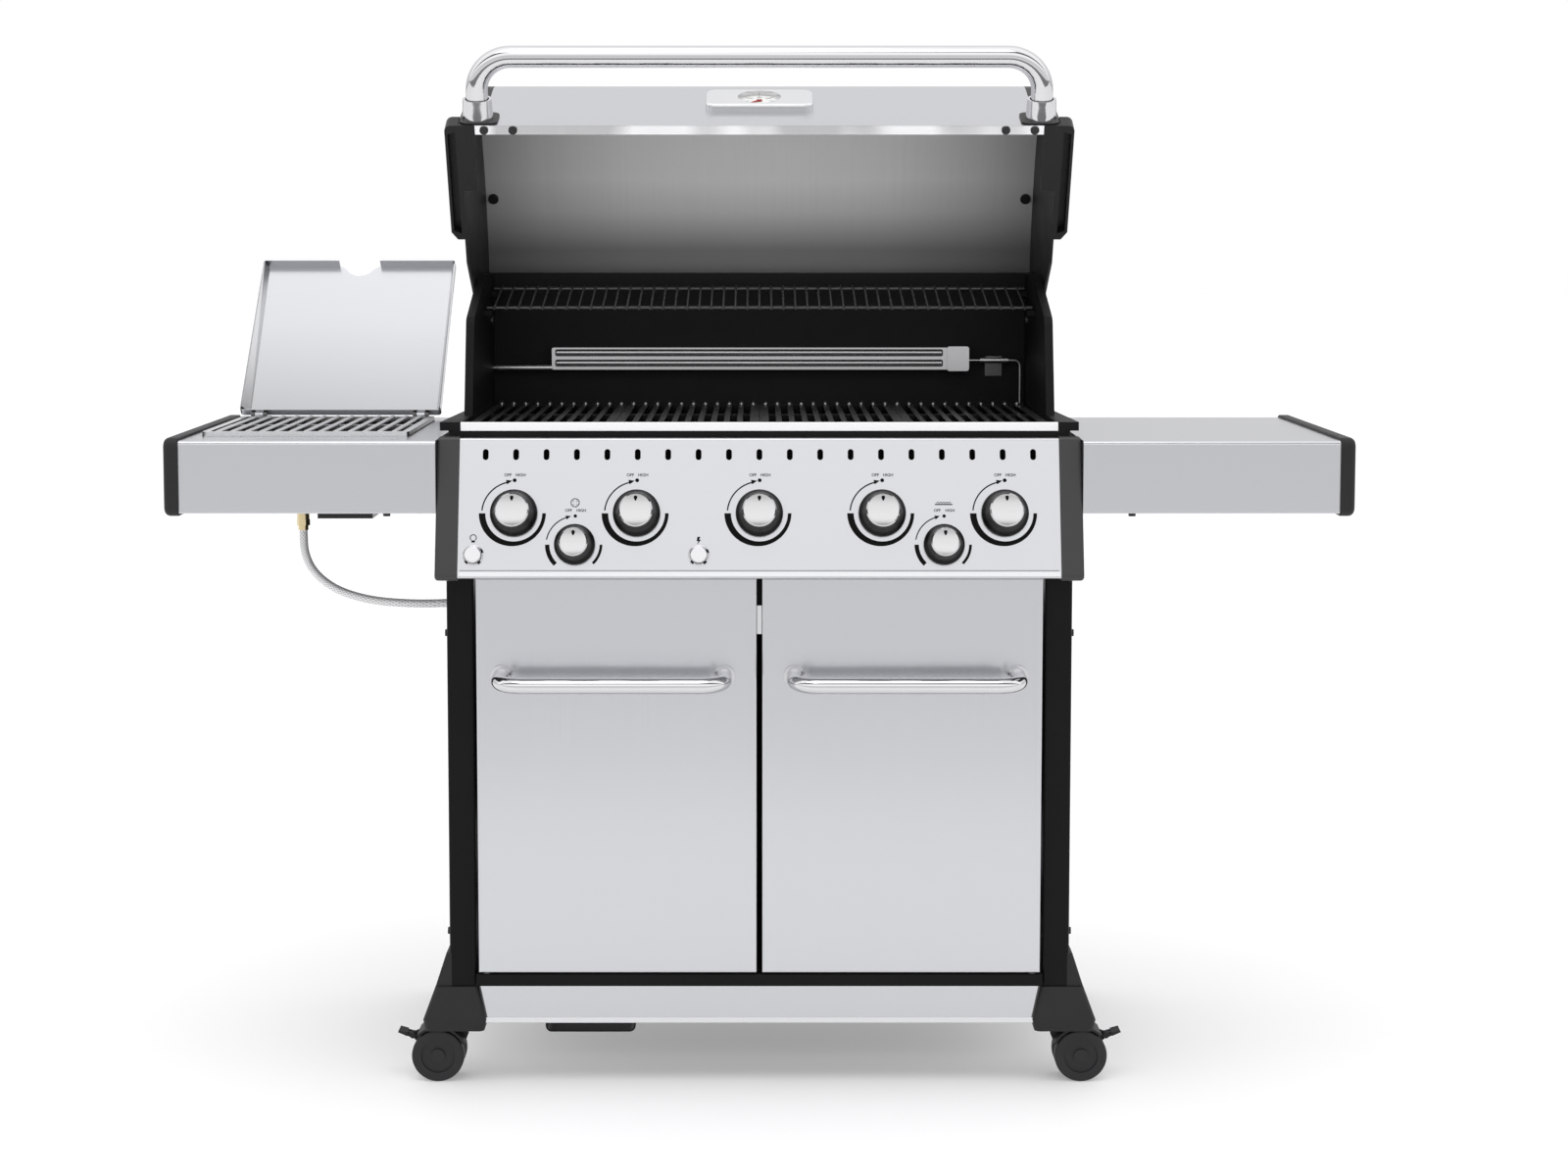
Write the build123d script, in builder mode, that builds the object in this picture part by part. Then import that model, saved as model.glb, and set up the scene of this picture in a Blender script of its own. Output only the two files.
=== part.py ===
from build123d import *
import os
from math import sin, cos, tan, radians, atan2, degrees, hypot

os.makedirs("parts", exist_ok=True)

# ---------------------------------------------------------------- dimensions (mm)
YF = -277.9            # front plane of the side shelves; depth values below start there

# cart
POST = 38.0            # square corner post
POST_X = 417.0         # post centre from the middle
POST_VF = 59.0         # front post centre depth
POST_VR = 481.0        # rear post centre depth
POST_Z0 = 100.0
POST_Z1 = 765.0        # cook box rests here
RAIL_Z0, RAIL_Z1 = 143.0, 161.0
URAIL_Z0, URAIL_Z1 = 726.5, 744.5
SOCKET_Z0 = 78.0

# doors
DOOR_X0, DOOR_X1 = 3.4, 394.0
DOOR_Z0, DOOR_Z1 = 163.0, 722.0
DOOR_V0, DOOR_V1 = 26.0, 46.0
DOOR_T = 1.6
PIN_X, PIN_V = 383.0, 35.0
PIN_R = 3.0
RUN = 0.06             # radial running clearance
HANDLE_Z = 585.0
HANDLE_X0, HANDLE_X1 = 48.6, 359.0
HANDLE_R = 11.0
HANDLE_OUT = 62.0
HANDLE_DROP = 4.0

# control panel
PAN_W = 413.0
PB = (-25.0, 727.0)    # bottom front edge (depth, height)
PT = (25.0, 916.0)     # top front edge
PAN_T = 1.6
KNOB_X = (-337.0, -168.5, 0.0, 168.5, 337.0)
KNOB_Z = 815.0
KNOB2_X = 253.0
KNOB2_Z = 773.0
BTN_Z = 759.0
BTN_X = (-392.0, -83.0)
BTN_R = 11.7
SLOT_N, SLOT_P, SLOT_Z = 19, 41.9, 894.0

# cook box
BOX_X = 432.0
BOX_VF, BOX_VR = 44.0, 500.0
BOX_Z0, BOX_Z1 = 765.0, 937.0
WALL = 6.0
EAR_X0, EAR_X1 = 412.0, 424.0
EAR_TOP = 1135.0
GRID_TOP, GRID_H = 931.0, 18.0
GRID_W = 204.0
GRID_V0, GRID_V1 = 54.0, 488.0
GRID_PITCH = 18.6
BURNER_Z = 800.0

# lid
HV, HZ = 449.0, 1063.0       # hinge line (depth, height)
OPEN = 62.0                  # opening angle shown
LIP = (60.0, 942.0)          # front lip with the lid shut
FACE_LEAN = 8.6
FACE_L = 180.0
LID_X = 424.6                # inside of the lid's end walls
SKIN_X = 394.4               # half width of the lid sheet
LIP_X = 404.0                # half width of the turned lip
WING_X = 447.5               # outside of the end caps' lower rim
LID_PIN_R = 6.0
LID_TUBE_R = 15.6
LID_TUBE_OUT = 92.0

# side shelves
SH_X0, SH_X1 = 446.0, 797.0
SH_V1 = 440.0
SH_Z0, SH_Z1 = 814.0, 914.5
SH_T = 1.5
CAP_X = 818.0
WELL = (-782.0, -489.0, 75.0, 372.0)   # side burner opening: x0, x1, front, rear
BOWL_Z = 861.5                         # underside of the side burner bowl
COVER_HV, COVER_HZ = 381.0, 922.0
COVER_L = 313.0
COVER_OPEN = 133.5
HOSE_R = 6.0
HOSE_V = 200.0

# casters
SWIVEL_X = 430.0
TRAIL = 25.0
WHEEL_R = 37.0
WHEEL_W = 20.0
WEB = 9.0


def Y(v):
    return v + YF


def side(x):
    """Section plane at x: local right is depth, local up is height, out along +X."""
    return Plane(origin=(x, YF, 0), x_dir=(0, 1, 0), z_dir=(1, 0, 0))


def front(v):
    """Upright plane at depth v facing the front."""
    return Plane(origin=(0, Y(v), 0), x_dir=(1, 0, 0), z_dir=(0, -1, 0))


def level(z):
    return Plane(origin=(0, YF, z))


def at(vs, *pts):
    return [v for v in vs if any(abs(v.X - p[0]) < 0.02 and abs(v.Y - p[1]) < 0.02 for p in pts)]


def keep(b, name):
    b.part.label = name
    export_step(b.part, "parts/" + name + ".step")


# ---------------------------------------------------------------- cart
CORNERS = [(sx * POST_X, v) for sx in (-1, 1) for v in (POST_VF, POST_VR)]

with BuildPart() as corner_posts:
    with BuildSketch(level(POST_Z0)):
        with Locations(*CORNERS):
            RectangleRounded(POST, POST, 4)
        with Locations(*CORNERS):
            RectangleRounded(POST - 3.2, POST - 3.2, 2.6, mode=Mode.SUBTRACT)
    extrude(amount=POST_Z1 - POST_Z0)
keep(corner_posts, "corner_posts")

with BuildPart() as caster_sockets:
    for sx in (-1, 1):
        for sv, pv in ((-1, POST_VF), (1, POST_VR)):
            cxb, cyb = sx * 429.0, pv + sv * (-12.0)
            with BuildSketch(level(SOCKET_Z0)):
                with Locations((cxb, cyb)):
                    RectangleRounded(83, 82, 8)
            with BuildSketch(level(94)):
                with Locations((cxb, cyb)):
                    RectangleRounded(89, 88, 8)
            loft(ruled=True)
            with BuildSketch(level(94)):
                with Locations((cxb, cyb)):
                    RectangleRounded(89, 88, 8)
            with BuildSketch(level(140)):
                with Locations((sx * 426.0, cyb)):
                    RectangleRounded(61, 68, 8)
            loft(ruled=True)
            with BuildSketch(front(pv + 19)):
                Polygon((sx * 430, 136), (sx * 457.5, 136), (sx * 440.5, 188), (sx * 430, 188), align=None)
            extrude(amount=38)
    with BuildSketch(level(POST_Z0)):
        with Locations(*CORNERS):
            RectangleRounded(POST + 0.4, POST + 0.4, 4.2)
    extrude(amount=120, mode=Mode.SUBTRACT)
    with BuildSketch(level(SOCKET_Z0)):
        with Locations(*[(sx * SWIVEL_X, pv + (12 if pv < 200 else -12)) for sx in (-1, 1) for pv in (POST_VF, POST_VR)]):
            Circle(5.5 + RUN)
    extrude(amount=20, mode=Mode.SUBTRACT)
keep(caster_sockets, "caster_sockets")

with BuildPart() as bottom_shelf:
    with BuildSketch(level(RAIL_Z0)):
        with Locations((0, 270)):
            Rectangle(794, 420)
    extrude(amount=RAIL_Z1 - RAIL_Z0)
    with BuildSketch(level(RAIL_Z0 + 1.6)):
        with Locations((0, 270)):
            Rectangle(790.8, 416.8)
    extrude(amount=40, mode=Mode.SUBTRACT)
    with BuildSketch(level(RAIL_Z0 - 2)):
        with Locations((-240, 300)):
            Circle(85)
    extrude(amount=10, mode=Mode.SUBTRACT)
    with BuildSketch(level(RAIL_Z0 - 2)):
        for i in range(6):
            with Locations((120 + 40 * i, 270)):
                SlotOverall(200, 9, rotation=90)
    extrude(amount=10, mode=Mode.SUBTRACT)

with BuildPart() as front_rails:
    for z0, z1 in ((RAIL_Z0, RAIL_Z1), (URAIL_Z0, URAIL_Z1)):
        with BuildSketch(side(-397.5)):
            with Locations((44, (z0 + z1) / 2)):
                RectangleRounded(31, z1 - z0, 2.5)
                RectangleRounded(27.8, z1 - z0 - 3.2, 1, mode=Mode.SUBTRACT)
        extrude(amount=795)
    with Locations(*[(sx * PIN_X, Y(PIN_V), z) for sx in (-1, 1) for z in ((RAIL_Z0 + RAIL_Z1) / 2, (URAIL_Z0 + URAIL_Z1) / 2)]):
        Cylinder(PIN_R, 30, mode=Mode.SUBTRACT)
keep(front_rails, "front_rails")

with BuildPart() as tank_bracket:
    with BuildSketch(front(160)):
        with Locations((-240, 104)):
            RectangleRounded(128, 78, 9)
            RectangleRounded(124, 74, 7, mode=Mode.SUBTRACT)
        with Locations((-240, 138)):
            Rectangle(116, 12, mode=Mode.SUBTRACT)
    extrude(amount=90)

with BuildPart() as cabinet_floor:
    add(bottom_shelf.part)
    add(tank_bracket.part)
keep(cabinet_floor, "cabinet_floor")

with BuildPart() as kick_panel:
    with BuildSketch(front(38)):
        Polygon((-382.5, 88), (382.5, 88), (382.5, 94), (392.5, 141.5), (-392.5, 141.5), (-382.5, 94), align=None)
    extrude(amount=1.6)
    with BuildSketch(side(-382.5)):
        with Locations((45, 88.8)):
            Rectangle(17.2, 1.6)
    extrude(amount=765)
    fillet([e for e in kick_panel.edges().filter_by(Axis.X) if abs(e.center().Z - 88) < 0.1 and e.center().Y < Y(37)], 1.4)
keep(kick_panel, "kick_panel")

with BuildPart() as cabinet_side_panels:
    for sx in (-1, 1):
        with BuildSketch(side(sx * 429 - (1.6 if sx < 0 else 0))):
            Polygon((78.4, 146), (461.6, 146), (461.6, 764), (78.4, 764), align=None)
            for k in range(8):
                with Locations((270, 590 + 16 * k)):
                    SlotOverall(220, 5, mode=Mode.SUBTRACT)
        extrude(amount=1.6)
    with Locations((-429.8, Y(HOSE_V), 661.7)):
        Cylinder(7.05, 12, rotation=(0, 90, 0), mode=Mode.SUBTRACT)
keep(cabinet_side_panels, "cabinet_side_panels")

with BuildPart() as rear_panel:
    with BuildSketch(front(486)):
        Polygon((-397.5, 146), (397.5, 146), (397.5, 640), (-397.5, 640), align=None)
        for sx in (-1, 1):
            for k in range(5):
                with Locations((sx * 200, 200 + 18 * k)):
                    SlotOverall(220, 6, mode=Mode.SUBTRACT)
    extrude(amount=1.6)
    with BuildSketch(level(638.4)):
        with Locations((0, 480)):
            Rectangle(795, 12)
    extrude(amount=1.6)
keep(rear_panel, "rear_panel")

with BuildPart() as door_catch:
    with BuildSketch(front(59)):
        with Locations((0, 690)):
            Rectangle(18, 72.9)
    extrude(amount=2)
    with BuildSketch(front(57)):
        with Locations((0, 660)):
            RectangleRounded(13, 40, 2)
    extrude(amount=10)
keep(door_catch, "door_catch")

# ---------------------------------------------------------------- control panel
ALPHA = atan2(PT[0] - PB[0], PT[1] - PB[1])
PN = (0, -cos(ALPHA), sin(ALPHA))


def panel_v(z):
    return PB[0] + (PT[0] - PB[0]) * (z - PB[1]) / (PT[1] - PB[1])


def panel_at(x, z, out=0.0):
    """Plane on the panel face at x and height z, moved out along its normal."""
    return Plane(origin=(x, Y(panel_v(z)) + PN[1] * out, z + PN[2] * out), x_dir=(1, 0, 0), z_dir=PN)


STEMS = [(x, KNOB_Z) for x in KNOB_X] + [(sx * KNOB2_X, KNOB2_Z) for sx in (-1, 1)]
ti = PAN_T / cos(ALPHA)
with BuildPart() as control_panel:
    with BuildSketch(side(-PAN_W)):
        k = (PT[0] - PB[0]) / (PT[1] - PB[1])
        Polygon((41.5, PT[1]), PT, PB, (22, PB[1]), (22, PB[1] + PAN_T),
                (PB[0] + ti + k * PAN_T, PB[1] + PAN_T), (PT[0] + ti - k * PAN_T, PT[1] - PAN_T),
                (41.5, PT[1] - PAN_T), align=None)
    extrude(amount=2 * PAN_W)
    fillet([e for e in control_panel.edges().filter_by(Axis.X)
            if (abs(e.center().Y - Y(PB[0])) < 0.1 and abs(e.center().Z - PB[1]) < 0.1)
            or (abs(e.center().Y - Y(PT[0])) < 0.1 and abs(e.center().Z - PT[1]) < 0.1)], 3.5)
    for x, z in STEMS:
        with BuildSketch(panel_at(x, z, 2)):
            Circle(6)
        extrude(amount=-8, mode=Mode.SUBTRACT)
    for x in BTN_X:
        with BuildSketch(panel_at(x, BTN_Z, 2)):
            Circle(BTN_R - 2 + 0.35)
        extrude(amount=-8, mode=Mode.SUBTRACT)
    with BuildSketch(panel_at(0, SLOT_Z, 2)):
        with GridLocations(SLOT_P, 1, SLOT_N, 1):
            SlotOverall(15.4, 8, rotation=90)
    extrude(amount=-8, mode=Mode.SUBTRACT)
keep(control_panel, "control_panel")

with BuildPart() as panel_end_caps:
    for sx in (-1, 1):
        x0 = 413.4 if sx > 0 else -444.5
        with BuildSketch(side(x0)):
            Polygon((41.5, 918), (23.5, 918), (-28, 724), (36, 724), (36, 772), (41.5, 772), align=None)
            fillet(at(vertices(), (23.5, 918), (-28, 724)), 7)
        extrude(amount=31.1)
        xi = 413.0 if sx > 0 else -440.5
        with BuildSketch(side(xi)):
            Polygon((60, 914), (26.5, 914), (-22.8, 728), (32, 728), (32, 776), (60, 776), align=None)
        extrude(amount=27.5, mode=Mode.SUBTRACT)
    fillet([e for e in panel_end_caps.edges() if abs(abs(e.center().X) - 444.5) < 0.05
            and e.center().Y < Y(38) and e.length > 5], 5)
keep(panel_end_caps, "panel_end_caps")

with BuildPart() as gas_manifold:
    mp = panel_at(-395, KNOB_Z, -32)
    with BuildSketch(Plane(origin=mp.origin, x_dir=(0, 1, 0), z_dir=(1, 0, 0))):
        Circle(8)
        Circle(6.5, mode=Mode.SUBTRACT)
    extrude(amount=790)

with BuildPart() as gas_valves:
    for x, z in STEMS:
        small = z < KNOB_Z - 10
        with BuildSketch(panel_at(x, z, -PAN_T - 2)):
            RectangleRounded(24, 24, 4)
        extrude(amount=-24 if not small else -19)
        if small:
            with BuildSketch(panel_at(x, z + 20, -12)):
                Rectangle(12, 44)
            extrude(amount=-15)
        with BuildSketch(panel_at(x, z, -PAN_T - 2.1)):
            Circle(4)
        extrude(amount=26)

with BuildPart() as gas_train:
    add(gas_manifold.part)
    add(gas_valves.part)
keep(gas_train, "gas_manifold")

# ---------------------------------------------------------------- cook box
with BuildPart() as firebox:
    with BuildSketch(level(BOX_Z0)):
        Polygon((-BOX_X, BOX_VF), (BOX_X, BOX_VF), (BOX_X, BOX_VR), (-BOX_X, BOX_VR), align=None)
        fillet(at(vertices(), (-BOX_X, BOX_VF), (BOX_X, BOX_VF)), 8)
    extrude(amount=BOX_Z1 - BOX_Z0)
    with BuildSketch(level(BOX_Z0 + 5)):
        Polygon((-BOX_X + WALL, BOX_VF + WALL), (BOX_X - WALL, BOX_VF + WALL), (BOX_X - WALL, BOX_VR - WALL), (-BOX_X + WALL, BOX_VR - WALL), align=None)
    extrude(amount=160 - 5, mode=Mode.SUBTRACT)
    with BuildSketch(level(BOX_Z0 + 150)):
        Polygon((-EAR_X0, BOX_VF + WALL), (EAR_X0, BOX_VF + WALL), (EAR_X0, BOX_VR - WALL), (-EAR_X0, BOX_VR - WALL), align=None)
    extrude(amount=60, mode=Mode.SUBTRACT)
    # rear wall and side ears above the rim
    with BuildSketch(level(BOX_Z1 - 4)):
        Polygon((-EAR_X1, BOX_VR - WALL), (EAR_X1, BOX_VR - WALL), (EAR_X1, BOX_VR), (-EAR_X1, BOX_VR), align=None)
    extrude(amount=EAR_TOP - BOX_Z1 + 4)
    for sx in (-1, 1):
        with BuildSketch(side(EAR_X0 if sx > 0 else -EAR_X1)):
            Polygon((174, 933), (209, 1074), (374, EAR_TOP), (BOX_VR, EAR_TOP), (BOX_VR, 933), align=None)
            fillet(at(vertices(), (209, 1074), (374, EAR_TOP)), 18)
        extrude(amount=EAR_X1 - EAR_X0)
        with BuildSketch(side(EAR_X1 - 1 if sx > 0 else -BOX_X)):
            Polygon((296, 933), (432, 998), (BOX_VR, 998), (BOX_VR, 933), align=None)
        extrude(amount=BOX_X - EAR_X1 + 1)
        # flared front corners of the rim
        with BuildSketch(level(BOX_Z1 - 12)):
            Polygon((sx * (BOX_X - 12), 282), (sx * BOX_X, 282), (sx * 443, BOX_VF + 4), (sx * 443, BOX_VF), (sx * (BOX_X - 12), BOX_VF), align=None)
        extrude(amount=12)
        # pads that carry the side shelves
        for v in (110, 390):
            with BuildSketch(side(BOX_X - 1 if sx > 0 else -SH_X0 + 1.5)):
                with Locations((v, 862)):
                    RectangleRounded(44, 44, 6)
            extrude(amount=SH_X0 - 1.5 - BOX_X + 1)
    # ledges for the grids and the heat tents, front and rear
    for v in (BOX_VF + WALL, BOX_VR - WALL - 14):
        for z in (GRID_TOP - GRID_H - 5, 846):
            with BuildSketch(level(z)):
                Polygon((-BOX_X + 3, v), (BOX_X - 3, v), (BOX_X - 3, v + 14), (-BOX_X + 3, v + 14), align=None)
            extrude(amount=5)
    # rests for the warming rack on the ears
    for sx in (-1, 1):
        for v, z in ((345, 1085.2 - 8.2), (460, 1110.8 - 8.2)):
            with BuildSketch(side(EAR_X0 - 12 if sx > 0 else -EAR_X0 - 1)):
                with Locations((v, z)):
                    RectangleRounded(16, 10, 2)
            extrude(amount=13)
    # drain, burner holes, hinge bores, rear burner feed
    with BuildSketch(level(BOX_Z0 - 1)):
        with Locations((0, 275)):
            RectangleRounded(280, 120, 10)
    extrude(amount=8, mode=Mode.SUBTRACT)
    with BuildSketch(front(BOX_VF + WALL + 1)):
        with Locations(*[(x, BURNER_Z) for x in KNOB_X]):
            Circle(13)
    extrude(amount=WALL + 2, mode=Mode.SUBTRACT)
    with Locations((0, Y(HV), HZ)):
        Cylinder(LID_PIN_R, 900, rotation=(0, 90, 0), mode=Mode.SUBTRACT)
    # guides for the grease tray
    for sx in (-1, 1):
        for v0, w in ((95, 60), (395, 60)):
            with BuildSketch(level(BOX_Z0 - 26)):
                with Locations((sx * 172, v0 + w / 2)):
                    Rectangle(6, w)
            extrude(amount=26)
            with BuildSketch(level(BOX_Z0 - 26)):
                with Locations((sx * 166, v0 + w / 2)):
                    Rectangle(14, w)
            extrude(amount=4)
keep(firebox, "firebox")

with BuildPart() as firebox_trim:
    with BuildSketch(side(-414)):
        Polygon((BOX_VF - 1.6, 925), (BOX_VF, 925), (BOX_VF, 937), (BOX_VF - 1.6, 937), align=None)
    extrude(amount=828)
    fillet([e for e in firebox_trim.edges().filter_by(Axis.X) if abs(e.center().Y - Y(BOX_VF - 1.6)) < 0.05 and e.center().Z > 930], 1.2)
keep(firebox_trim, "firebox_trim")

with BuildPart() as cooking_grids:
    gl = GRID_V1 - GRID_V0
    with BuildSketch(level(GRID_TOP - GRID_H)):
        with Locations(*[((i - 1.5) * (GRID_W + 0.8), (GRID_V0 + GRID_V1) / 2) for i in range(4)]):
            Rectangle(GRID_W, gl)
        for i in range(4):
            gx = (i - 1.5) * (GRID_W + 0.8)
            for j in range(10):
                bx = gx + (j - 4.5) * GRID_PITCH
                for vc in (GRID_V0 + 9 + (gl - 27) / 4, GRID_V1 - 9 - (gl - 27) / 4):
                    with Locations((bx, vc)):
                        Rectangle(10.4, (gl - 27) / 2, mode=Mode.SUBTRACT)
    extrude(amount=GRID_H)
keep(cooking_grids, "cooking_grids")

with BuildPart() as heat_tents:
    for x in KNOB_X:
        with BuildSketch(front(BOX_VR - WALL - 4)):
            Polygon((x - 70, 851), (x - 70, 858), (x, 893), (x + 70, 858), (x + 70, 851), (x + 68.5, 851), (x + 68.5, 857), (x, 891.2), (x - 68.5, 857), (x - 68.5, 851), align=None)
        extrude(amount=BOX_VR - BOX_VF - 2 * WALL - 8)
keep(heat_tents, "heat_tents")

with BuildPart() as main_burners:
    with BuildSketch(front(BOX_VR - WALL)):
        with Locations(*[(x, BURNER_Z) for x in KNOB_X]):
            Circle(12.4)
    extrude(amount=BOX_VR - WALL - 40)
    with BuildSketch(front(480)):
        with Locations(*[(x, BURNER_Z) for x in KNOB_X]):
            Circle(11.2)
    extrude(amount=460, mode=Mode.SUBTRACT)
keep(main_burners, "main_burners")

with BuildPart() as rear_burner:
    with BuildSketch(front(BOX_VR - WALL)):
        with Locations((1.5, 1003)):
            RectangleRounded(645, 34, 3)
    extrude(amount=26)
    with BuildSketch(front(BOX_VR - WALL - 26)):
        with Locations((-16, 1012), (-16, 996)):
            RectangleRounded(600, 11, 3)
    extrude(amount=-10, mode=Mode.SUBTRACT)
    for z in (1012, 996):
        with BuildSketch(side(-314)):
            with Locations((BOX_VR - WALL - 20, z)):
                Circle(4.2)
        extrude(amount=596)
    with BuildSketch(front(BOX_VR - WALL)):
        with Locations((307, 1003)):
            RectangleRounded(34, 38, 4)
    extrude(amount=31)
    with BuildSketch(side(-EAR_X0)):
        with Locations((BOX_VR - WALL - 14, 988)):
            Circle(5)
    extrude(amount=95)

with BuildPart() as rear_igniter:
    with BuildSketch(side(324.2)):
        with Locations((476, 1000)):
            Circle(1.8)
    extrude(amount=18)
    with BuildSketch(side(342)):
        with Locations((476, 1000)):
            Circle(4.6)
    extrude(amount=44)
    with BuildSketch(front(BOX_VR - WALL)):
        with Locations((364, 990)):
            Rectangle(26, 30)
    extrude(amount=1.6)
    with BuildSketch(front(BOX_VR - WALL)):
        with Locations((364, 1000)):
            Rectangle(12, 6)
    extrude(amount=18)
    with BuildLine() as wire_path:
        FilletPolyline((385.5, Y(476), 1000), (404, Y(476), 1000), (404, Y(476), 934), radius=9)
    with BuildSketch(Plane(origin=(385.5, Y(476), 1000), z_dir=(1, 0, 0))):
        Circle(1.8)
    sweep(path=wire_path.wires()[0])

with BuildPart() as rotisserie_burner:
    add(rear_burner.part)
    add(rear_igniter.part)
keep(rotisserie_burner, "rear_burner")

RK0, RK1 = (345.0, 1085.2), (460.0, 1110.8)
with BuildPart() as warming_rack:
    for v, z in (RK0, RK1):
        with BuildSketch(side(-408)):
            with Locations((v, z)):
                Circle(3.1)
        extrude(amount=816)
    ra = atan2(RK1[1] - RK0[1], RK1[0] - RK0[0])
    rp = Plane(origin=(0, Y(RK0[0] - 14), RK0[1] + 2.6 - 14 * tan(ra)), x_dir=(1, 0, 0), z_dir=(0, cos(ra), sin(ra)))
    with BuildSketch(rp):
        with GridLocations(18, 1, 45, 1):
            Circle(1.9)
    extrude(amount=142)
keep(warming_rack, "warming_rack")

# ---------------------------------------------------------------- lid (drawn open)
T = radians(OPEN)


def lid_plane(x):
    """Section plane of the lid at x; local axes are depth and height as when shut."""
    return Plane(origin=(x, Y(HV), HZ), x_dir=(0, cos(T), -sin(T)), z_dir=(1, 0, 0))


def lp(v, z):
    return (v - HV, z - HZ)


def lid_pt(x, v, z):
    a, b = v - HV, z - HZ
    return (x, Y(HV) + a * cos(T) + b * sin(T), HZ - a * sin(T) + b * cos(T))


def lid_vec(a, b):
    return (0, a * cos(T) + b * sin(T), -a * sin(T) + b * cos(T))


FA = radians(90 - FACE_LEAN)
FD = (cos(FA), sin(FA))         # up the front face
FNV = (-sin(FA), cos(FA))       # out of the front face


def face_pt(a, out=0.0):
    """Shut position of a point a mm above the lip on the front face."""
    return (LIP[0] + FD[0] * a + FNV[0] * out, LIP[1] + FD[1] * a + FNV[1] * out)


def lid_curve(d, skip=0.0, tail=20.0):
    """Front face, crown and rear of the lid, moved in by d; call inside BuildLine."""
    s = lp(*face_pt(skip, -d))
    e = lp(*face_pt(FACE_L, -d))
    l1 = Line(s, e)
    l2 = JernArc(l1 @ 1, l1 % 1, 105 - d, -(90 - FACE_LEAN - 10))
    l3 = JernArc(l2 @ 1, l2 % 1, 600 - d, -30)
    l4 = JernArc(l3 @ 1, l3 % 1, 60 - d, -65)
    t = l4 % 1
    l5 = Line(l4 @ 1, (l4 @ 1) + t * tail)
    return s, l5 @ 1


with BuildPart() as lid_skin:
    with BuildSketch(lid_plane(-SKIN_X)):
        with BuildLine():
            s0, e0 = lid_curve(0)
            s1, e1 = lid_curve(1.5)
            Line(s0, s1)
            Line(e0, e1)
        make_face()
    extrude(amount=2 * SKIN_X)
    with BuildSketch(lid_plane(-LIP_X)):
        Polygon(lp(60, 942), lp(74, 942), lp(74, 943.6), lp(60.25, 943.6), align=None)
    extrude(amount=2 * LIP_X)
keep(lid_skin, "lid_skin")

with BuildPart() as lid_liner:
    with BuildSketch(lid_plane(-LID_X)):
        with BuildLine():
            s0, e0 = lid_curve(13.4, skip=8, tail=14)
            s1, e1 = lid_curve(14.6, skip=8, tail=14)
            Line(s0, s1)
            Line(e0, e1)
        make_face()
    extrude(amount=2 * LID_X)
keep(lid_liner, "lid_liner")

HA = 30.0
hn = lid_vec(*FNV)
hup = lid_vec(*FD)
TAB_T = 2.5


def lid_level(z):
    """Plane square to the shut lid's height, local axes across and depth."""
    return Plane(origin=lid_pt(0, 0, z), x_dir=(1, 0, 0), z_dir=lid_vec(0, 1))


with BuildPart() as lid_end_caps:
    for sx in (-1, 1):
        # end wall
        with BuildSketch(lid_plane(LID_X + 0.4 if sx > 0 else -LID_X - 3.9)):
            with BuildLine():
                s0, e0 = lid_curve(0, tail=20)
                Polyline(e0, lp(488, 1052), lp(470, 1031), lp(449, 1026), lp(426, 1029), lp(282, 942), s0)
            make_face()
        extrude(amount=3.5)
        # border that carries on the line of the sheet
        with BuildSketch(lid_plane(SKIN_X + 0.4 if sx > 0 else -LID_X - 1)):
            with BuildLine():
                s0, e0 = lid_curve(0, skip=3)
                s1, e1 = lid_curve(3, skip=3)
                Line(s0, s1)
                Line(e0, e1)
            make_face()
        extrude(amount=LID_X + 1 - SKIN_X - 0.4)
        # pad under the handle foot
        with BuildSketch(Plane(origin=lid_pt(sx * 399.5, *face_pt(HA, 0.05)), x_dir=(1, 0, 0), z_dir=hn)):
            RectangleRounded(54, 54, 12)
        extrude(amount=TAB_T - 0.05)
        with BuildSketch(Plane(origin=lid_pt(sx * 410.5, *face_pt(HA, -1)), x_dir=(1, 0, 0), z_dir=hn)):
            Rectangle(26, 40)
        extrude(amount=2)
        # lower rim: foot plate and outer wing
        with BuildSketch(lid_level(942)):
            Polygon((sx * 405, 60.2), (sx * WING_X, 60.2), (sx * WING_X, 231), (sx * (WING_X - 9), 243), (sx * 425, 243), (sx * 425, 164), (sx * 405, 164), align=None)
            fillet(at(vertices(), (sx * WING_X, 60.2)), 9)
        extrude(amount=3)
        with BuildSketch(lid_level(942)):
            Polygon((sx * 428, 60.2), (sx * WING_X, 60.2), (sx * WING_X, 231), (sx * (WING_X - 9), 243), (sx * 428, 243), align=None)
            fillet(at(vertices(), (sx * WING_X, 60.2)), 9)
        extrude(amount=34)
        # trough along the underside of the wing
        with BuildSketch(lid_level(941)):
            Polygon((sx * 432.5, 70), (sx * 443.5, 74), (sx * 443.5, 229), (sx * 432.5, 233), align=None)
        extrude(amount=17, mode=Mode.SUBTRACT)
        # boss at the pivot
        with BuildSketch(side(LID_X + 3.5 if sx > 0 else -LID_X - 8.4)):
            with Locations((HV, HZ)):
                Circle(21)
        extrude(amount=4.9)
    top = Vector(*lid_vec(0, 1))
    fillet([e for e in lid_end_caps.edges() if abs(abs(e.center().X) - WING_X) < 0.05 and e.length > 100
            and (e.center() - Vector(*lid_pt(0, 0, 976))).dot(top) > -0.5], 6)
    with Locations((0, Y(HV), HZ)):
        Cylinder(LID_PIN_R + RUN, 1000, rotation=(0, 90, 0), mode=Mode.SUBTRACT)
keep(lid_end_caps, "lid_end_caps")

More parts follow.
